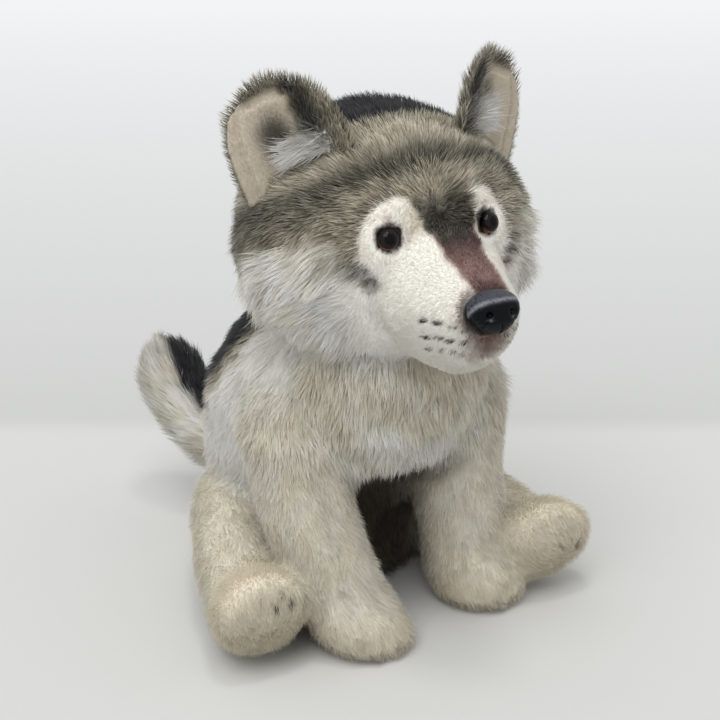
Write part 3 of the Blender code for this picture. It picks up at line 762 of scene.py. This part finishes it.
# Between the toes, as lines up over each paw
TOE_GROOVES = {
    "right": (
        ((-26, -122, 2), (-26.5, -120, 14), (-29, -109, 25)),
        ((-39, -120, 2), (-39, -118, 14), (-38, -107, 25)),
    ),
    "left": (
        ((50, -109, 2), (50, -107, 12), (49, -97, 23)),
        ((57, -106, 2), (56.5, -104, 12), (53, -95, 23)),
    ),
}
# The crease down the front of the right front leg
LEG_CREASE = (
    (-50, -96.5, 101), (-49, -99, 86), (-47, -102, 71), (-45, -105, 55), (-43, -108, 40),
    (-42.5, -112, 30),
)
CLAWS = {
    "right": ((-20, -119.5, 10), (-32, -117, 5), (-46.6, -112.6, 8)),
    "left": ((47, -105, 9), (53, -105, 4), (59, -101, 5)),
}
HIND_MARKS = {
    "right": (
        ((-71.4, -106, 39.5), 2.1, TOE), ((-79.7, -107, 39.5), 2.0, TOE),
        ((-76.5, -106, 45), 1.5, RUST), ((-78, -106, 48), 1.4, RUST), ((-88, -106, 45), 0.8, RUST),
    ),
    "left": (((82.5, -106.5, 32), 1.4, RUST), ((95, -104.5, 30), 1.8, TOE), ((90, -106, 29), 1.2, RUST)),
}


def hind_leg_pile(side):
    line = np.asarray(HIND_LEG_LINE, float) * (SIDES[side], 1, 1)

    def pile_at(points, normals):
        _, heading, _ = along_line(points, line)
        foot = ramp(-64, -80, points[:, 1])
        length = mix(7.2, 5.4, foot)
        comb = mix(heading - UP * 0.25, heading - UP * 0.3, foot)
        density = mix(1.7, 2.3, foot) * mix(1.0, 0.3, ramp(-0.7, -0.95, normals[:, 2]))
        pile = Pile(normals, length, mix(0.38, 0.5, foot), comb, 0.12, density)
        pile.paint(LEG)
        lump = 0.5 + 0.5 * wobble(points, 12, 51)
        pile.paint(CREAM, np.clip(0.25 + 0.4 * lump, 0, 1))
        pile.frizz = 0.16 + 0.14 * foot
        pile.paint(FOOT, foot)
        for place, radius, look in HIND_MARKS[side]:
            pile.paint(look, spot(points, place, radius, 1.0) * 0.9)
        return pile

    return pile_at


def tail_pile(points, normals):
    """White, with a dark streak along the top."""
    share, heading, place = along_line(points, TAIL_LINE)
    aside = points - place
    top = aside @ unit(np.array((0.75, -0.6, 0.3)))
    dark = ramp(4.5, 8.0, top + 1.2 * wobble(points, 9, 61)) * ramp(0.30, 0.45, share)
    length = mix(9.0, 13.0, ramp(0.1, 0.5, share))
    pile = Pile(normals, length, 0.34, heading, 0.08, 1.7)
    pile.paint(WHITE)
    pile.paint(CREAM, np.clip(0.3 + 0.3 * wobble(points, 10, 65), 0, 1))
    pile.paint(TAIL_STREAK, ramp(0.72, 0.9, share + 0.06 * wobble(points, 7, 66)) * 0.5)
    pile.paint(CHARCOAL, dark)
    return pile


def morton(cells):
    """Interleaves the bits of whole-number coordinates, so that near cells get near keys."""
    key = np.zeros(len(cells), np.int64)
    for bit in range(10):
        for axis in range(cells.shape[1]):
            key |= ((cells[:, axis] >> bit) & 1) << (bit * cells.shape[1] + axis)
    return key


def scatter(skin, density, rng):
    """Roots over the skin, as many per square millimetre as the density at its vertices."""
    a, b, c = (skin.points[skin.triangles[:, i]] for i in range(3))
    area = np.linalg.norm(np.cross(b - a, c - a), axis=1) / 2
    weight = area * density[skin.triangles].mean(1) * DENSITY_SCALE
    count = int(weight.sum())
    ends = np.cumsum(weight)
    picks = (np.arange(count) + rng.random(count)) * ends[-1] / count
    index = np.minimum(np.searchsorted(ends, picks), len(weight) - 1)
    u, v = rng.random(count), rng.random(count)
    over = u + v > 1
    u, v = np.where(over, 1 - u, u), np.where(over, 1 - v, v)
    return skin.triangles[index], np.stack([1 - u - v, u, v], axis=1)


def between(values, corners, shares):
    """A value at each root, from the values at its triangle's corners."""
    return (values[corners] * shares.reshape(shares.shape + (1,) * (values.ndim - 1))).sum(1)


RAY_WAYS = ((0, 0, 1), (0.3, 0.8, -0.4), (-0.7, -0.5, 0.2))


def buried(points, skins):
    """Which points lie inside a skin: from there, most rays meet the back of a face first."""
    inside = np.zeros(len(points), bool)
    ways = [Vector(unit(np.array(way, float))) for way in RAY_WAYS]
    for skin in skins:
        tree = BVHTree.FromPolygons(skin.points.tolist(), skin.triangles.tolist())
        near = ((points > skin.points.min(0)) & (points < skin.points.max(0))).all(axis=1)
        for i in np.nonzero(near & ~inside)[0]:
            place = Vector(points[i])
            backs = 0
            for way in ways:
                _, normal, _, _ = tree.ray_cast(place, way)
                backs += normal is not None and normal.dot(way) > 0
            inside[i] = backs >= 2
    return inside


def gathered(roots, tips, size, strength, rng):
    """Pulls the tips of neighbouring strands together. Also gives each strand's clump."""
    count = max(int(len(roots) / max(size**2 * 1.5, 1)), 1)
    centres = rng.choice(len(roots), count, replace=False)
    tree = KDTree(count)
    for i, centre in enumerate(centres):
        tree.insert(roots[centre], i)
    tree.balance()
    clump = np.array([tree.find(root)[1] for root in roots])
    home = centres[clump]
    goal = tips[home] + (roots - roots[home]) * 0.3
    return tips + (goal - tips) * np.asarray(strength)[:, None], clump


def pile_width(pile):
    """How wide a strand is at its root, from its length."""
    return np.clip(0.19 + pile.length * 0.018, 0.22, 0.44)


BLADE_STEPS = (0, 0.52, 1)  # where a blade's corners are, from its root to its tip


def strands(name, roots, pile, material, slot, rng, clump_sizes):
    """A mesh of blades, one per root, bent and coloured as the pile says."""
    count = len(roots)
    lift = np.clip(pile.lift + rng.normal(0, 0.05, count), 0.05, 0.95)[:, None]
    out = pile.normals
    drift = np.stack([wobble(roots, 10, s) for s in (1, 2, 3)], axis=1)
    swing = unit(pile.comb + pile.frizz[:, None] * rng.normal(size=(count, 3)) + 0.20 * drift)
    start_way = unit(out * (lift + 0.30) + swing * (1 - lift))
    end_way = unit(out * lift * 0.55 + swing * (1 - lift * 0.5) - UP * pile.droop[:, None])
    length = (pile.length * np.clip(rng.normal(1, 0.13, count), 0.6, 1.3))[:, None]
    bend = roots + start_way * length * 0.5
    tips = bend + end_way * length * 0.5
    # Long pile gathers in clumps and varies from strand to strand, and short pile hardly does
    strength = np.clip((pile.length - 2.6) / 32, 0, 0.28)
    calm = np.clip(pile.length / 7, 0.3, 1)
    clump = np.zeros(count, int)
    for size in clump_sizes:
        wanted = np.clip(strength + calm * rng.normal(0, 0.10, count), 0, 0.8)
        tips, clump = gathered(roots, tips, size, wanted, rng)
    base = roots - out * 0.4
    bend = bend + (tips - roots) * 0.12
    line = [base * (1 - t) ** 2 + bend * 2 * t * (1 - t) + tips * t**2 for t in BLADE_STEPS]
    for place in line:
        place[:, 2] = np.maximum(place[:, 2], BLADE_FLOOR)
    heading = unit(tips - base)
    face = unit(out - heading * (out * heading).sum(1)[:, None] + 1e-4)
    aside = np.cross(heading, face)
    twist = rng.normal(0, 0.5, count)[:, None]
    aside = aside * np.cos(twist) + face * np.sin(twist)
    width = pile_width(pile)[:, None] * np.clip(rng.normal(1, 0.15, count), 0.6, 1.4)[:, None]
    clump_shade = rng.normal(0, 1, clump.max() + 1)[clump]
    own_shade = rng.normal(0, 1, count)
    shade = np.exp(calm * (0.05 * own_shade + 0.04 * clump_shade))[:, None]
    slide = calm * (0.20 * rng.normal(size=count) + 0.14 * clump_shade)
    slide = np.clip(slide, -0.45, 0.45)[:, None]
    places, shades = [], []
    for t, place in zip(BLADE_STEPS, line):
        at = np.clip(t + slide * (0.4 + t), 0, 1)
        low = mix(pile.root, pile.middle, np.clip(at / 0.5, 0, 1))
        colour = mix(low, pile.tip, np.clip((at - 0.5) / 0.5, 0, 1)) * shade
        half = width * (0.5 if t == 0 else 0.5 * (1 - 0.45 * t))
        places += [place] if t == 1 else [place - aside * half, place + aside * half]
        shades += [colour] if t == 1 else [colour, colour]
    mesh = blade_mesh(name, places, roots)
    set_colours(mesh, "pile", np.clip(np.stack(shades, axis=1).reshape(-1, 3), 0, 0.95))
    mesh.shade_smooth()
    calm = calm[:, None]
    soft = unit(face * 0.25 * calm + out * 0.75 + calm * rng.normal(0, 0.05, (count, 3)))
    mesh.normals_split_custom_set_from_vertices(np.repeat(soft, len(places), axis=0).tolist())
    return link_piece(name, mesh, material)


def blade_mesh(name, places, roots):
    """The faces of the blades: quads up to the last pair of corners, and a triangle at the tip."""
    count, per = len(roots), len(places)
    quads = [[2 * i, 2 * i + 1, 2 * i + 3, 2 * i + 2] for i in range(len(BLADE_STEPS) - 2)]
    corner_order = np.array([c for quad in quads for c in quad] + [per - 3, per - 2, per - 1])
    loops = (np.arange(count)[:, None] * per + corner_order).ravel()
    sizes = np.tile([4] * len(quads) + [3], count)
    starts = np.concatenate([[0], np.cumsum(sizes)[:-1]])
    mesh = bpy.data.meshes.new(name)
    mesh.vertices.add(count * per)
    vertices = np.stack(places, axis=1).reshape(-1, 3)
    mesh.vertices.foreach_set("co", (vertices * MM).ravel().astype(np.float32))
    mesh.loops.add(len(loops))
    mesh.loops.foreach_set("vertex_index", loops.astype(np.int32))
    mesh.polygons.add(len(sizes))
    mesh.polygons.foreach_set("loop_start", starts.astype(np.int32))
    mesh.update(calc_edges=True)
    # One small cell of the map for each strand, its neighbours' cells beside it
    side_cells = math.ceil(math.sqrt(count))
    grid = np.stack(np.divmod(np.arange(side_cells**2), side_cells), axis=1)
    order = np.argsort(morton(grid))[:count]
    rank = np.argsort(np.argsort(morton(((roots - roots.min(0)) / 1.5).astype(np.int64))))
    cell = grid[order][rank]
    run = [((0.2, 0.1 + 0.8 * t), (0.8, 0.1 + 0.8 * t)) for t in BLADE_STEPS[:-1]] + [((0.5, 0.9),)]
    inside = np.array([place for pair in run for place in pair])[corner_order]
    uv = (cell[:, None, :] + inside[None]) / side_cells
    layer = mesh.uv_layers.new(name="OFBake")
    layer.data.foreach_set("uv", uv.reshape(-1).astype(np.float32))
    return mesh


FRONT_LEG_NODES = ("front_leg_outer_", "front_leg_inner_", "front_sole_", "front_leg_stuffing_")
HIND_LEG_NODES = ("thigh_", "hind_foot_", "hind_sole_", "hind_leg_stuffing_")
GROUPS = {
    "torso": (
        "rump_base", "back_saddle", "flank_left", "flank_right", "chest_bib", "neck_panel",
        "torso_stuffing",
    ),
    **{"front_leg_" + side: tuple(name + side for name in FRONT_LEG_NODES) for side in SIDES},
    **{"hind_leg_" + side: tuple(name + side for name in HIND_LEG_NODES) for side in SIDES},
    "tail": ("tail_top", "tail_underside", "tail_stuffing"),
}
HEAD_NODES = (
    "face_left", "face_right", "muzzle", "nape_panel", "crown_panel", "cheek_left",
    "cheek_right", "throat_panel", "head_stuffing",
)
BODY_NODES = [name for names in GROUPS.values() for name in names]
# Each skin's remesh size, its rounds of smoothing, and how far it is drawn in under the pile
BODY_VOXEL, BODY_ROUNDS = 2.8, 8
HEAD_VOXEL, HEAD_ROUNDS = 2.0, 6
EAR_VOXEL, EAR_ROUNDS = 1.3, 3
MOST_DRAWN_IN = 5.0
BODY_PILES = {
    "torso": torso_pile,
    **{"front_leg_" + side: front_leg_pile(side) for side in SIDES},
    **{"hind_leg_" + side: hind_leg_pile(side) for side in SIDES},
    "tail": tail_pile,
}
# The sizes of the clumps that a piece's strands gather in, the later ones inside the first
CLUMPS = {
    "torso_front": (8.0, 2.6),
    "torso_back": (8.0, 2.6),
    "tail": (6.0, 3.0),
    "cap": (2.2,),
    "face": (6.0, 2.6),
    "muzzle": (1.2,),
}
OTHER_CLUMPS = (3.0,)
HEAD_SLOTS = {"cap": "grey_pile", "muzzle": "short_pile", "face": "white_pile"}
# What splits the strands into pieces: a place along the torso, a length and a lightness of tip
TORSO_SPLIT = -30
SHORT_PILE = 2.7
DARK_TIP = 0.60


def nearness(points):
    """How much each body group's CAD surface carries a point, as shares that add up to 1."""
    gaps = []
    for names in GROUPS.values():
        place, corners = node_mesh(names)
        tree = BVHTree.FromPolygons(place.tolist(), corners.tolist())
        gaps.append([tree.find_nearest(Vector(p))[3] for p in points])
    gaps = np.array(gaps).T
    shares = np.exp(-((gaps - gaps.min(1)[:, None]) ** 2) / (2 * 3.5**2))
    return shares / shares.sum(1)[:, None]


def body_pile(points, normals, shares):
    """The groups' piles, blended where one form meets another."""
    parts = [pile_of(points, normals) for pile_of in BODY_PILES.values()]
    comb = sum(part.comb * shares[:, [i]] for i, part in enumerate(parts))
    pile = Pile(normals, 0, 0, comb, 0, 0)
    for field in ("length", "lift", "droop", "density", "frizz"):
        setattr(pile, field, sum(getattr(part, field) * shares[:, i] for i, part in enumerate(parts)))
    for field in ("root", "middle", "tip"):
        setattr(pile, field, sum(getattr(part, field) * shares[:, [i]] for i, part in enumerate(parts)))
    return pile


MUZZLE_RIM = (
    (0, -117, 222), (12, -118, 219), (21, -119, 213), (29, -120, 205), (33, -121, 197),
    (35, -120, 186), (33, -123, 177), (28, -128, 168),
)
# The chin is lifted below this height, by this share of its distance to it
CHIN_TOP = 188
CHIN_LIFT = 0.16
# How deep the seam round the muzzle, the leg's crease, the toe grooves and the belly are
SEAM_DEPTH = 1.9
CREASE_DEPTH = 1.5
GROOVE_DEPTH = 2.2
BELLY_DEPTH = 15


def shape_head(skin):
    """Lifts the chin, and sinks the seam round the muzzle."""
    x, y, z = skin.points.T
    share = CHIN_LIFT * ramp(-98, -124, y) * ramp(CHIN_TOP, CHIN_TOP - 12, z)
    skin.points = np.stack([x, y, z + (CHIN_TOP - z) * share], axis=1)
    seam = streak(mirrored(skin.points), MUZZLE_RIM, 0.6, 5.0)
    skin.sink(SEAM_DEPTH * seam)
    skin.find_normals()


def shape_body(skin, torso):
    """Sinks the belly, the crease of the front legs and the grooves between the toes."""
    hollow = belly_hollow(skin.points, skin.normals)
    hollow = hollow * ramp(2, 18, skin.points[:, 2]) * ramp(0.7, 1.0, torso)
    skin.points = skin.points + np.array((0.0, 1.0, 0.0)) * (BELLY_DEPTH * hollow)[:, None]
    crease = streak(mirrored(skin.points) * (-1, 1, 1), LEG_CREASE, 0.6, 5.0) * (skin.points[:, 0] < 0)
    skin.sink(CREASE_DEPTH * crease)
    for groove in TOE_GROOVES["right"] + TOE_GROOVES["left"]:
        skin.sink(GROOVE_DEPTH * streak(skin.points, groove, 0.6, 3.6))
    skin.smooth(2)


def body_cuts(pile, points, shares):
    """Which of the body's strands go in each piece."""
    best = shares.argmax(1)
    cuts = {group: best == i for i, group in enumerate(GROUPS)}
    whole, ahead = cuts.pop("torso"), points[:, 1] < TORSO_SPLIT
    return {"torso_front": whole & ahead, "torso_back": whole & ~ahead, **cuts}


def head_cuts(pile, points):
    """Which of the head's strands go in each piece."""
    muzzle = pile.length < SHORT_PILE
    cap = ~muzzle & (pile.tip.mean(1) < DARK_TIP)
    return {"cap": cap, "muzzle": muzzle, "face": ~cap & ~muzzle}


def make_fur():
    """The skins of the body, head and ears, and the strands on them."""
    fur = fur_material(
        "pile", roughness=0.85, sheen=0.15, noise_size=1.3, variation=0.05, through=0.5
    )
    backing = fur_material(
        "pile_backing", roughness=0.9, sheen=0.1, noise_size=1.0, variation=0.12
    )

    body = make_skin(BODY_NODES, BODY_VOXEL, BODY_ROUNDS)
    body_shares = nearness(body.points)
    shape_body(body, body_shares[:, 0])
    pile = body_pile(body.points, body.normals, body_shares)
    draw_in(body, np.clip(pile.length * 0.30, 0.5, MOST_DRAWN_IN))
    head = make_skin(HEAD_NODES, HEAD_VOXEL, HEAD_ROUNDS)
    shape_head(head)
    pile = head_pile(head.points, head.normals)
    draw_in(head, np.clip(pile.length * 0.32, 0.4, MOST_DRAWN_IN))
    ears = {}
    for side in SIDES:
        ears[side] = make_skin(["ear_back_" + side, "ear_lining_" + side], EAR_VOXEL, EAR_ROUNDS)
        shrink_ear(ears[side], side)

    solids = {"body": body, "head": head}

    def grow(name, skin, pile_at, nodes, slots, cuts, seed, extra=None):
        """The skin's piece and its strands' pieces. extra is what pile_at wants beside the points."""
        rng = np.random.default_rng(seed)
        arguments = () if extra is None else (extra,)
        pile = pile_at(skin.points, skin.normals, *arguments)
        colours = mix(pile.root, pile.middle, 0.5)
        skin_piece(name + "_skin", skin, colours, backing, nodes)
        corners, shares = scatter(skin, pile.density, rng)
        points = between(skin.points, corners, shares)
        normals = unit(between(skin.normals, corners, shares))
        keep = ~buried(points, [solid for key, solid in solids.items() if key != name])
        points, normals, corners, shares = points[keep], normals[keep], corners[keep], shares[keep]
        arguments = () if extra is None else (between(extra, corners, shares),)
        pile = pile_at(points, normals, *arguments)
        for cut, mask in cuts(pile, points, *arguments).items():
            if mask.any():
                piece = name + "_fur" + ("_" + cut if cut else "")
                clumps = CLUMPS.get(cut, OTHER_CLUMPS)
                strands(piece, points[mask], pile.only(mask), fur, slots(cut), rng, clumps)

    grow(
        "body", body, body_pile, BODY_NODES,
        lambda cut: "leg_pile" if "leg" in cut else "white_pile", body_cuts, seed=101,
        extra=body_shares,
    )
    grow("head", head, head_pile, HEAD_NODES, HEAD_SLOTS.get, head_cuts, seed=102)
    for i, side in enumerate(SIDES):
        nodes = ("ear_back_" + side, "ear_lining_" + side)
        grow(
            "ear_" + side, ears[side], ear_pile(side), nodes,
            lambda cut: "grey_pile", lambda pile, points: {"": np.ones(len(points), bool)},
            seed=103 + i,
        )


# ---- Eyes and nose ----


def plastic_material(name, roughness, grain):
    """Moulded plastic in its painted colours, with a fine grain in its gloss and surface."""
    material, tree, shader = new_material(name)
    shader.inputs["Specular IOR Level"].default_value = 0.12
    place = add(tree, "ShaderNodeTexCoord")
    noise = add(tree, "ShaderNodeTexNoise", Scale=1 / (0.7 * MM), Detail=4.0)
    wire(place, "Object", noise, "Vector")
    levels = {"To Min": max(roughness - 0.06, 0.02), "To Max": roughness + 0.10}
    level = add(tree, "ShaderNodeMapRange", **levels)
    wire(noise, "Fac", level, "Value")
    wire(level, "Result", shader, "Roughness")
    colours = add(tree, "ShaderNodeVertexColor", layer_name="paint")
    wire(colours, "Color", shader, "Base Color")
    bump = add(tree, "ShaderNodeBump", Strength=grain, Distance=0.25 * MM)
    wire(noise, "Fac", bump, "Height")
    wire(bump, "Normal", shader, "Normal")
    return material


def facing_frame(facing):
    """The ways aside, up and forward of something that faces this way."""
    facing = unit(facing)
    aside = unit(np.cross(UP, facing))
    return aside, np.cross(facing, aside), facing


EYE_BLACK, EYE_IRIS, EYE_AMBER = (7, 6, 7), (34, 29, 27), (150, 92, 40)
EYE_TURN = 1.16  # how far the dome and its rim reach round, in quarter turns


def make_eye(side, material):
    """A domed eye with a dark iris, and a thin rim let into the pile."""
    apex, facing = EYES[side]
    apex = apex - facing * 0.3
    aside, above, facing = facing_frame(facing)
    rows, columns = 20, 48
    places, paints = [], []
    base, iris, amber = (linear(colour) for colour in (EYE_BLACK, EYE_IRIS, EYE_AMBER))
    for row in range(rows + 1):
        turn = row / rows * math.pi / 2 * EYE_TURN
        radius = EYE_RADIUS * math.sin(min(turn, math.pi / 2))
        height = EYE_DOME * math.cos(turn) if turn < math.pi / 2 else -(turn - math.pi / 2) * 6
        for column in range(columns):
            angle = column / columns * 2 * math.pi
            place = apex - facing * (EYE_DOME - height)
            place = place + aside * radius * math.cos(angle) + above * radius * math.sin(angle)
            places.append(place)
            ring = float(ramp(2.3, 2.8, radius) * ramp(4.6, 4.0, radius))
            fleck = 0.75 + 0.25 * math.sin(angle * 23 + radius) * math.sin(angle * 9 + 2)
            edge = float(ramp(4.3, 4.9, radius)) * max(0.0, math.sin(-angle)) ** 2
            paint = base + (iris * fleck - base) * ring
            paints.append(paint + (amber - paint) * edge * 0.6)
    faces = []
    for row in range(rows):
        for here in range(columns):
            after = (here + 1) % columns
            start, below = row * columns, (row + 1) * columns
            faces.append((start + here, below + here, below + after, start + after))
    mesh = bpy.data.meshes.new("eye_dome_" + side)
    mesh.from_pydata((np.array(places) * MM).tolist(), [], faces)
    mesh.validate()
    set_colours(mesh, "paint", np.array(paints))
    mesh.shade_smooth()
    piece = link_piece("eye_dome_" + side, mesh, material)
    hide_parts("eye_" + side, "eye_washer_" + side)


# The nose's flat top and front: the way each faces, and how far out it lies
NOSE_TOP = unit(np.array((0, 0.95, 0.31)))
NOSE_TOP_REACH = 9.0
NOSE_FRONT = unit(np.array((0, 0.18, 0.98)))
NOSE_FRONT_REACH = 7.7
NOSE_FLATNESS = 0.72
NOSE_ROUNDING = 0.8
NOSE_SQUARENESS = 2.3


def nose_marks(side, up, front):
    """How deep the nostrils, their slits and the groove go, and where a painted glint lies on the
    nostrils' lips.
    """
    dent = np.zeros(len(side))
    lip_glint = np.zeros(len(side))
    ahead = ramp(0.0, 0.3, front)
    for sign in (-1, 1):
        aside = (side - sign * 0.50) / 0.14
        offset = np.stack([aside, (up - 0.08 + 0.25 * (np.abs(side) - 0.5)) / 0.16], axis=1)
        dent += 2.4 * np.exp(-((offset**2).sum(1) ** 1.3)) * ahead
        # A painted glint on each nostril's lower lip
        lip_glint += np.exp(-2.2 * aside**2) * np.exp(-(((up + 0.15) / 0.045) ** 2)) * ahead
        # A slit runs from the nostril to the lower rim
        slit = (side * sign - 0.52 + (up + 0.12) * 0.7) / 1.22 / 0.035
        dent += 1.0 * np.exp(-(slit**2)) * ramp(-0.10, -0.2, up) * ramp(-0.70, -0.55, up) * ahead
    dent += 1.3 * np.exp(-((side / 0.05) ** 2)) * ramp(-0.30, -0.42, up) * ahead
    return dent, np.clip(lip_glint, 0, 1)


def make_nose(material):
    """A moulded nose, broad above and narrow below, with nostrils, a groove and a fine grain."""
    mesh = bpy.data.meshes.new("nose_body")
    ball = bmesh.new()
    bmesh.ops.create_icosphere(ball, subdivisions=6, radius=1.0)
    ball.to_mesh(mesh)
    ball.free()
    d = unit(coordinates(mesh))
    side, up, front = d.T
    shape = d * ((np.abs(d) ** NOSE_SQUARENESS).sum(1) ** (-1 / NOSE_SQUARENESS))[:, None]
    wide = 1 + 0.05 * ramp(-0.2, 0.8, up) - 0.34 * ramp(0.1, -1.0, up)
    half = [NOSE_HALF[0] * wide, np.full(len(d), NOSE_HALF[2]), np.full(len(d), NOSE_HALF[1])]
    shape = shape * np.stack(half, axis=1) * 0.98
    # The flat top slopes to a soft ridge over the flat front
    for plane, reach in ((NOSE_TOP, NOSE_TOP_REACH), (NOSE_FRONT, NOSE_FRONT_REACH)):
        past = np.logaddexp(0, (shape @ plane - reach) / NOSE_ROUNDING)
        shape = shape - plane * (NOSE_FLATNESS * NOSE_ROUNDING * past)[:, None]
    dent, lip_glint = nose_marks(side, up, front)
    speckle = wobble(shape, 0.9, 71) * wobble(shape, 0.7, 72)
    over = (shape @ NOSE_TOP - NOSE_TOP_REACH) - (shape @ NOSE_FRONT - NOSE_FRONT_REACH)
    shape = shape - d * (dent - speckle * 0.05)[:, None]
    aside, above, facing = facing_frame(NOSE_FACING)
    points = NOSE_CENTRE + shape[:, :1] * aside + shape[:, 1:2] * above + shape[:, 2:] * facing
    mesh.vertices.foreach_set("co", (points * MM).ravel())
    mesh.update()
    # The top is painted grey, and lighter along the ridge, as a painted sheen and highlight, broken up
    # by the grain
    sheen_grain = np.clip(0.8 + 0.5 * speckle, 0, 1)
    paint = np.repeat(linear((4, 7, 10))[None], len(points), axis=0)
    for colour, share in (
        ((68, 70, 77), ramp(-1.6, 0.6, over) * sheen_grain),
        ((138, 140, 146), np.exp(-((over + 0.4) ** 2)) * sheen_grain * 0.75),
        ((34, 38, 43), ramp(-0.22, -0.45, up) * 0.45),
        # Painted glint on the nostrils' lips
        ((112, 114, 118), lip_glint * 0.6),
        # The nostrils, slits and groove are painted darkest, as painted shade in them
        ((4, 4, 5), ramp(0.4, 1.2, dent)),
    ):
        paint = mix(paint, linear(colour), share)
    set_colours(mesh, "paint", paint)
    mesh.shade_smooth()
    piece = link_piece("nose_moulded", mesh, material)
    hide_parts("nose", "nose_washer")


# ---- Stage ----


def direction_from(azimuth, elevation):
    """The way from the toy toward this side and height, in degrees. 0, 0 is its front."""
    a, e = math.radians(azimuth), math.radians(elevation)
    return Vector((math.sin(a) * math.cos(e), -math.cos(a) * math.cos(e), math.sin(e)))


def make_camera():
    """The camera stands where the photo was taken from."""
    data = bpy.data.cameras.new("camera")
    data.sensor_width = 36
    data.sensor_fit = "HORIZONTAL"
    data.lens = CAMERA_LENS
    data.clip_start = 0.05
    camera = new_object("camera", data)
    back = direction_from(CAMERA_AZIMUTH, CAMERA_ELEVATION)
    camera.location = Vector(CAMERA_AIM_M) + back * CAMERA_DISTANCE_M
    camera.rotation_euler = back.to_track_quat("Z", "Y").to_euler()
    bpy.context.scene.camera = camera


def make_lamp(kind, name, azimuth, elevation, power):
    """A lamp that shines from this direction. Returns its data and its object."""
    data = bpy.data.lights.new(name, kind)
    data.energy = power
    lamp = new_object(name, data)
    lamp.rotation_euler = direction_from(azimuth, elevation).to_track_quat("Z", "Y").to_euler()
    return data, lamp


def make_lights():
    """A broad sky light from the left, and a small window overhead."""
    sky, _ = make_lamp("SUN", "sky", SKY_AZIMUTH, SKY_ELEVATION, SKY_POWER)
    sky.angle = math.radians(SKY_SPREAD)
    window, lamp = make_lamp("AREA", "window", WINDOW_AZIMUTH, WINDOW_ELEVATION, WINDOW_POWER)
    window.shape = "DISK"
    window.size = WINDOW_SIZE_M
    way = direction_from(WINDOW_AZIMUTH, WINDOW_ELEVATION)
    lamp.location = Vector(LAMP_AIM_M) + way * WINDOW_DISTANCE_M


def make_floor():
    """A flat pale sheet of paper, painted behind the toy as if it turned up: a soft band of painted
    shade at the fold, and painted light beyond.
    """
    mesh = bpy.data.meshes.new("floor")
    signs = ((-1, -1), (1, -1), (1, 1), (-1, 1))
    corners = [(x * FLOOR_REACH_M, y * FLOOR_REACH_M, 0) for x, y in signs]
    mesh.from_pydata(corners, [], [(0, 1, 2, 3)])
    floor = new_object("floor", mesh)
    material, tree, shader = new_material("floor_paper")
    shader.inputs["Roughness"].default_value = 0.9
    shader.inputs["Specular IOR Level"].default_value = 0.0
    place = add(tree, "ShaderNodeTexCoord")
    away = direction_from(CAMERA_AZIMUTH, 0) * -1
    depth = add(tree, "ShaderNodeVectorMath", operation="DOT_PRODUCT")
    depth.inputs[1].default_value = away
    wire(place, "Object", depth, 0)
    tones = add(tree, "ShaderNodeValToRGB")
    aim = Vector(CAMERA_AIM_M).dot(away)
    limits = {"From Min": aim, "From Max": aim + BACKDROP_REACH_M}
    reach = add(tree, "ShaderNodeMapRange", **limits)
    wire(depth, "Value", reach, "Value")
    wire(reach, "Result", tones, "Fac")
    # Painted shade at the fold, and painted light on the backdrop beyond it
    fold = BACKDROP_FOLD_M / BACKDROP_REACH_M
    stops = tones.color_ramp.elements
    stops[0].position, stops[0].color = fold - FOLD_SOFTNESS, (*FLOOR_TONE, 1)
    stops[1].position, stops[1].color = fold + FOLD_SOFTNESS, (*FOLD_SHADE_TONE, 1)
    top = stops.new(1.0)
    top.color = (*BACKDROP_LIGHT_TONE, 1)
    wire(tones, "Color", shader, "Base Color")
    mesh.materials.append(material)


def make_world():
    """Soft light from all round, and a pale background where the camera or a gloss sees it."""
    world = bpy.data.worlds.new("studio")
    world.use_nodes = True
    tree = world.node_tree
    light = tree.nodes["Background"]
    light.inputs["Color"].default_value = WORLD_TINT
    light.inputs["Strength"].default_value = WORLD_LIGHT
    seen = add(tree, "ShaderNodeBackground")
    seen.inputs["Color"].default_value = WORLD_SEEN
    path = add(tree, "ShaderNodeLightPath")
    either = add(tree, "ShaderNodeMath", operation="MAXIMUM")
    wire(path, "Is Camera Ray", either, 0)
    wire(path, "Is Glossy Ray", either, 1)
    any_of = add(tree, "ShaderNodeMath", operation="MAXIMUM")
    wire(either, "Value", any_of, 0)
    wire(path, "Is Transmission Ray", any_of, 1)
    blend = add(tree, "ShaderNodeMixShader")
    wire(any_of, "Value", blend, "Fac")
    wire(light, "Background", blend, 1)
    wire(seen, "Background", blend, 2)
    wire(blend, "Shader", tree.nodes["World Output"], "Surface")
    bpy.context.scene.world = world


make_camera()
make_floor()
make_world()
make_lights()
make_fur()
eye_plastic = plastic_material("eye_plastic", roughness=0.08, grain=0.0)
for side in SIDES:
    make_eye(side, eye_plastic)
make_nose(plastic_material("nose_plastic", roughness=0.34, grain=0.30))

bpy.context.scene.view_settings.view_transform = "Standard"
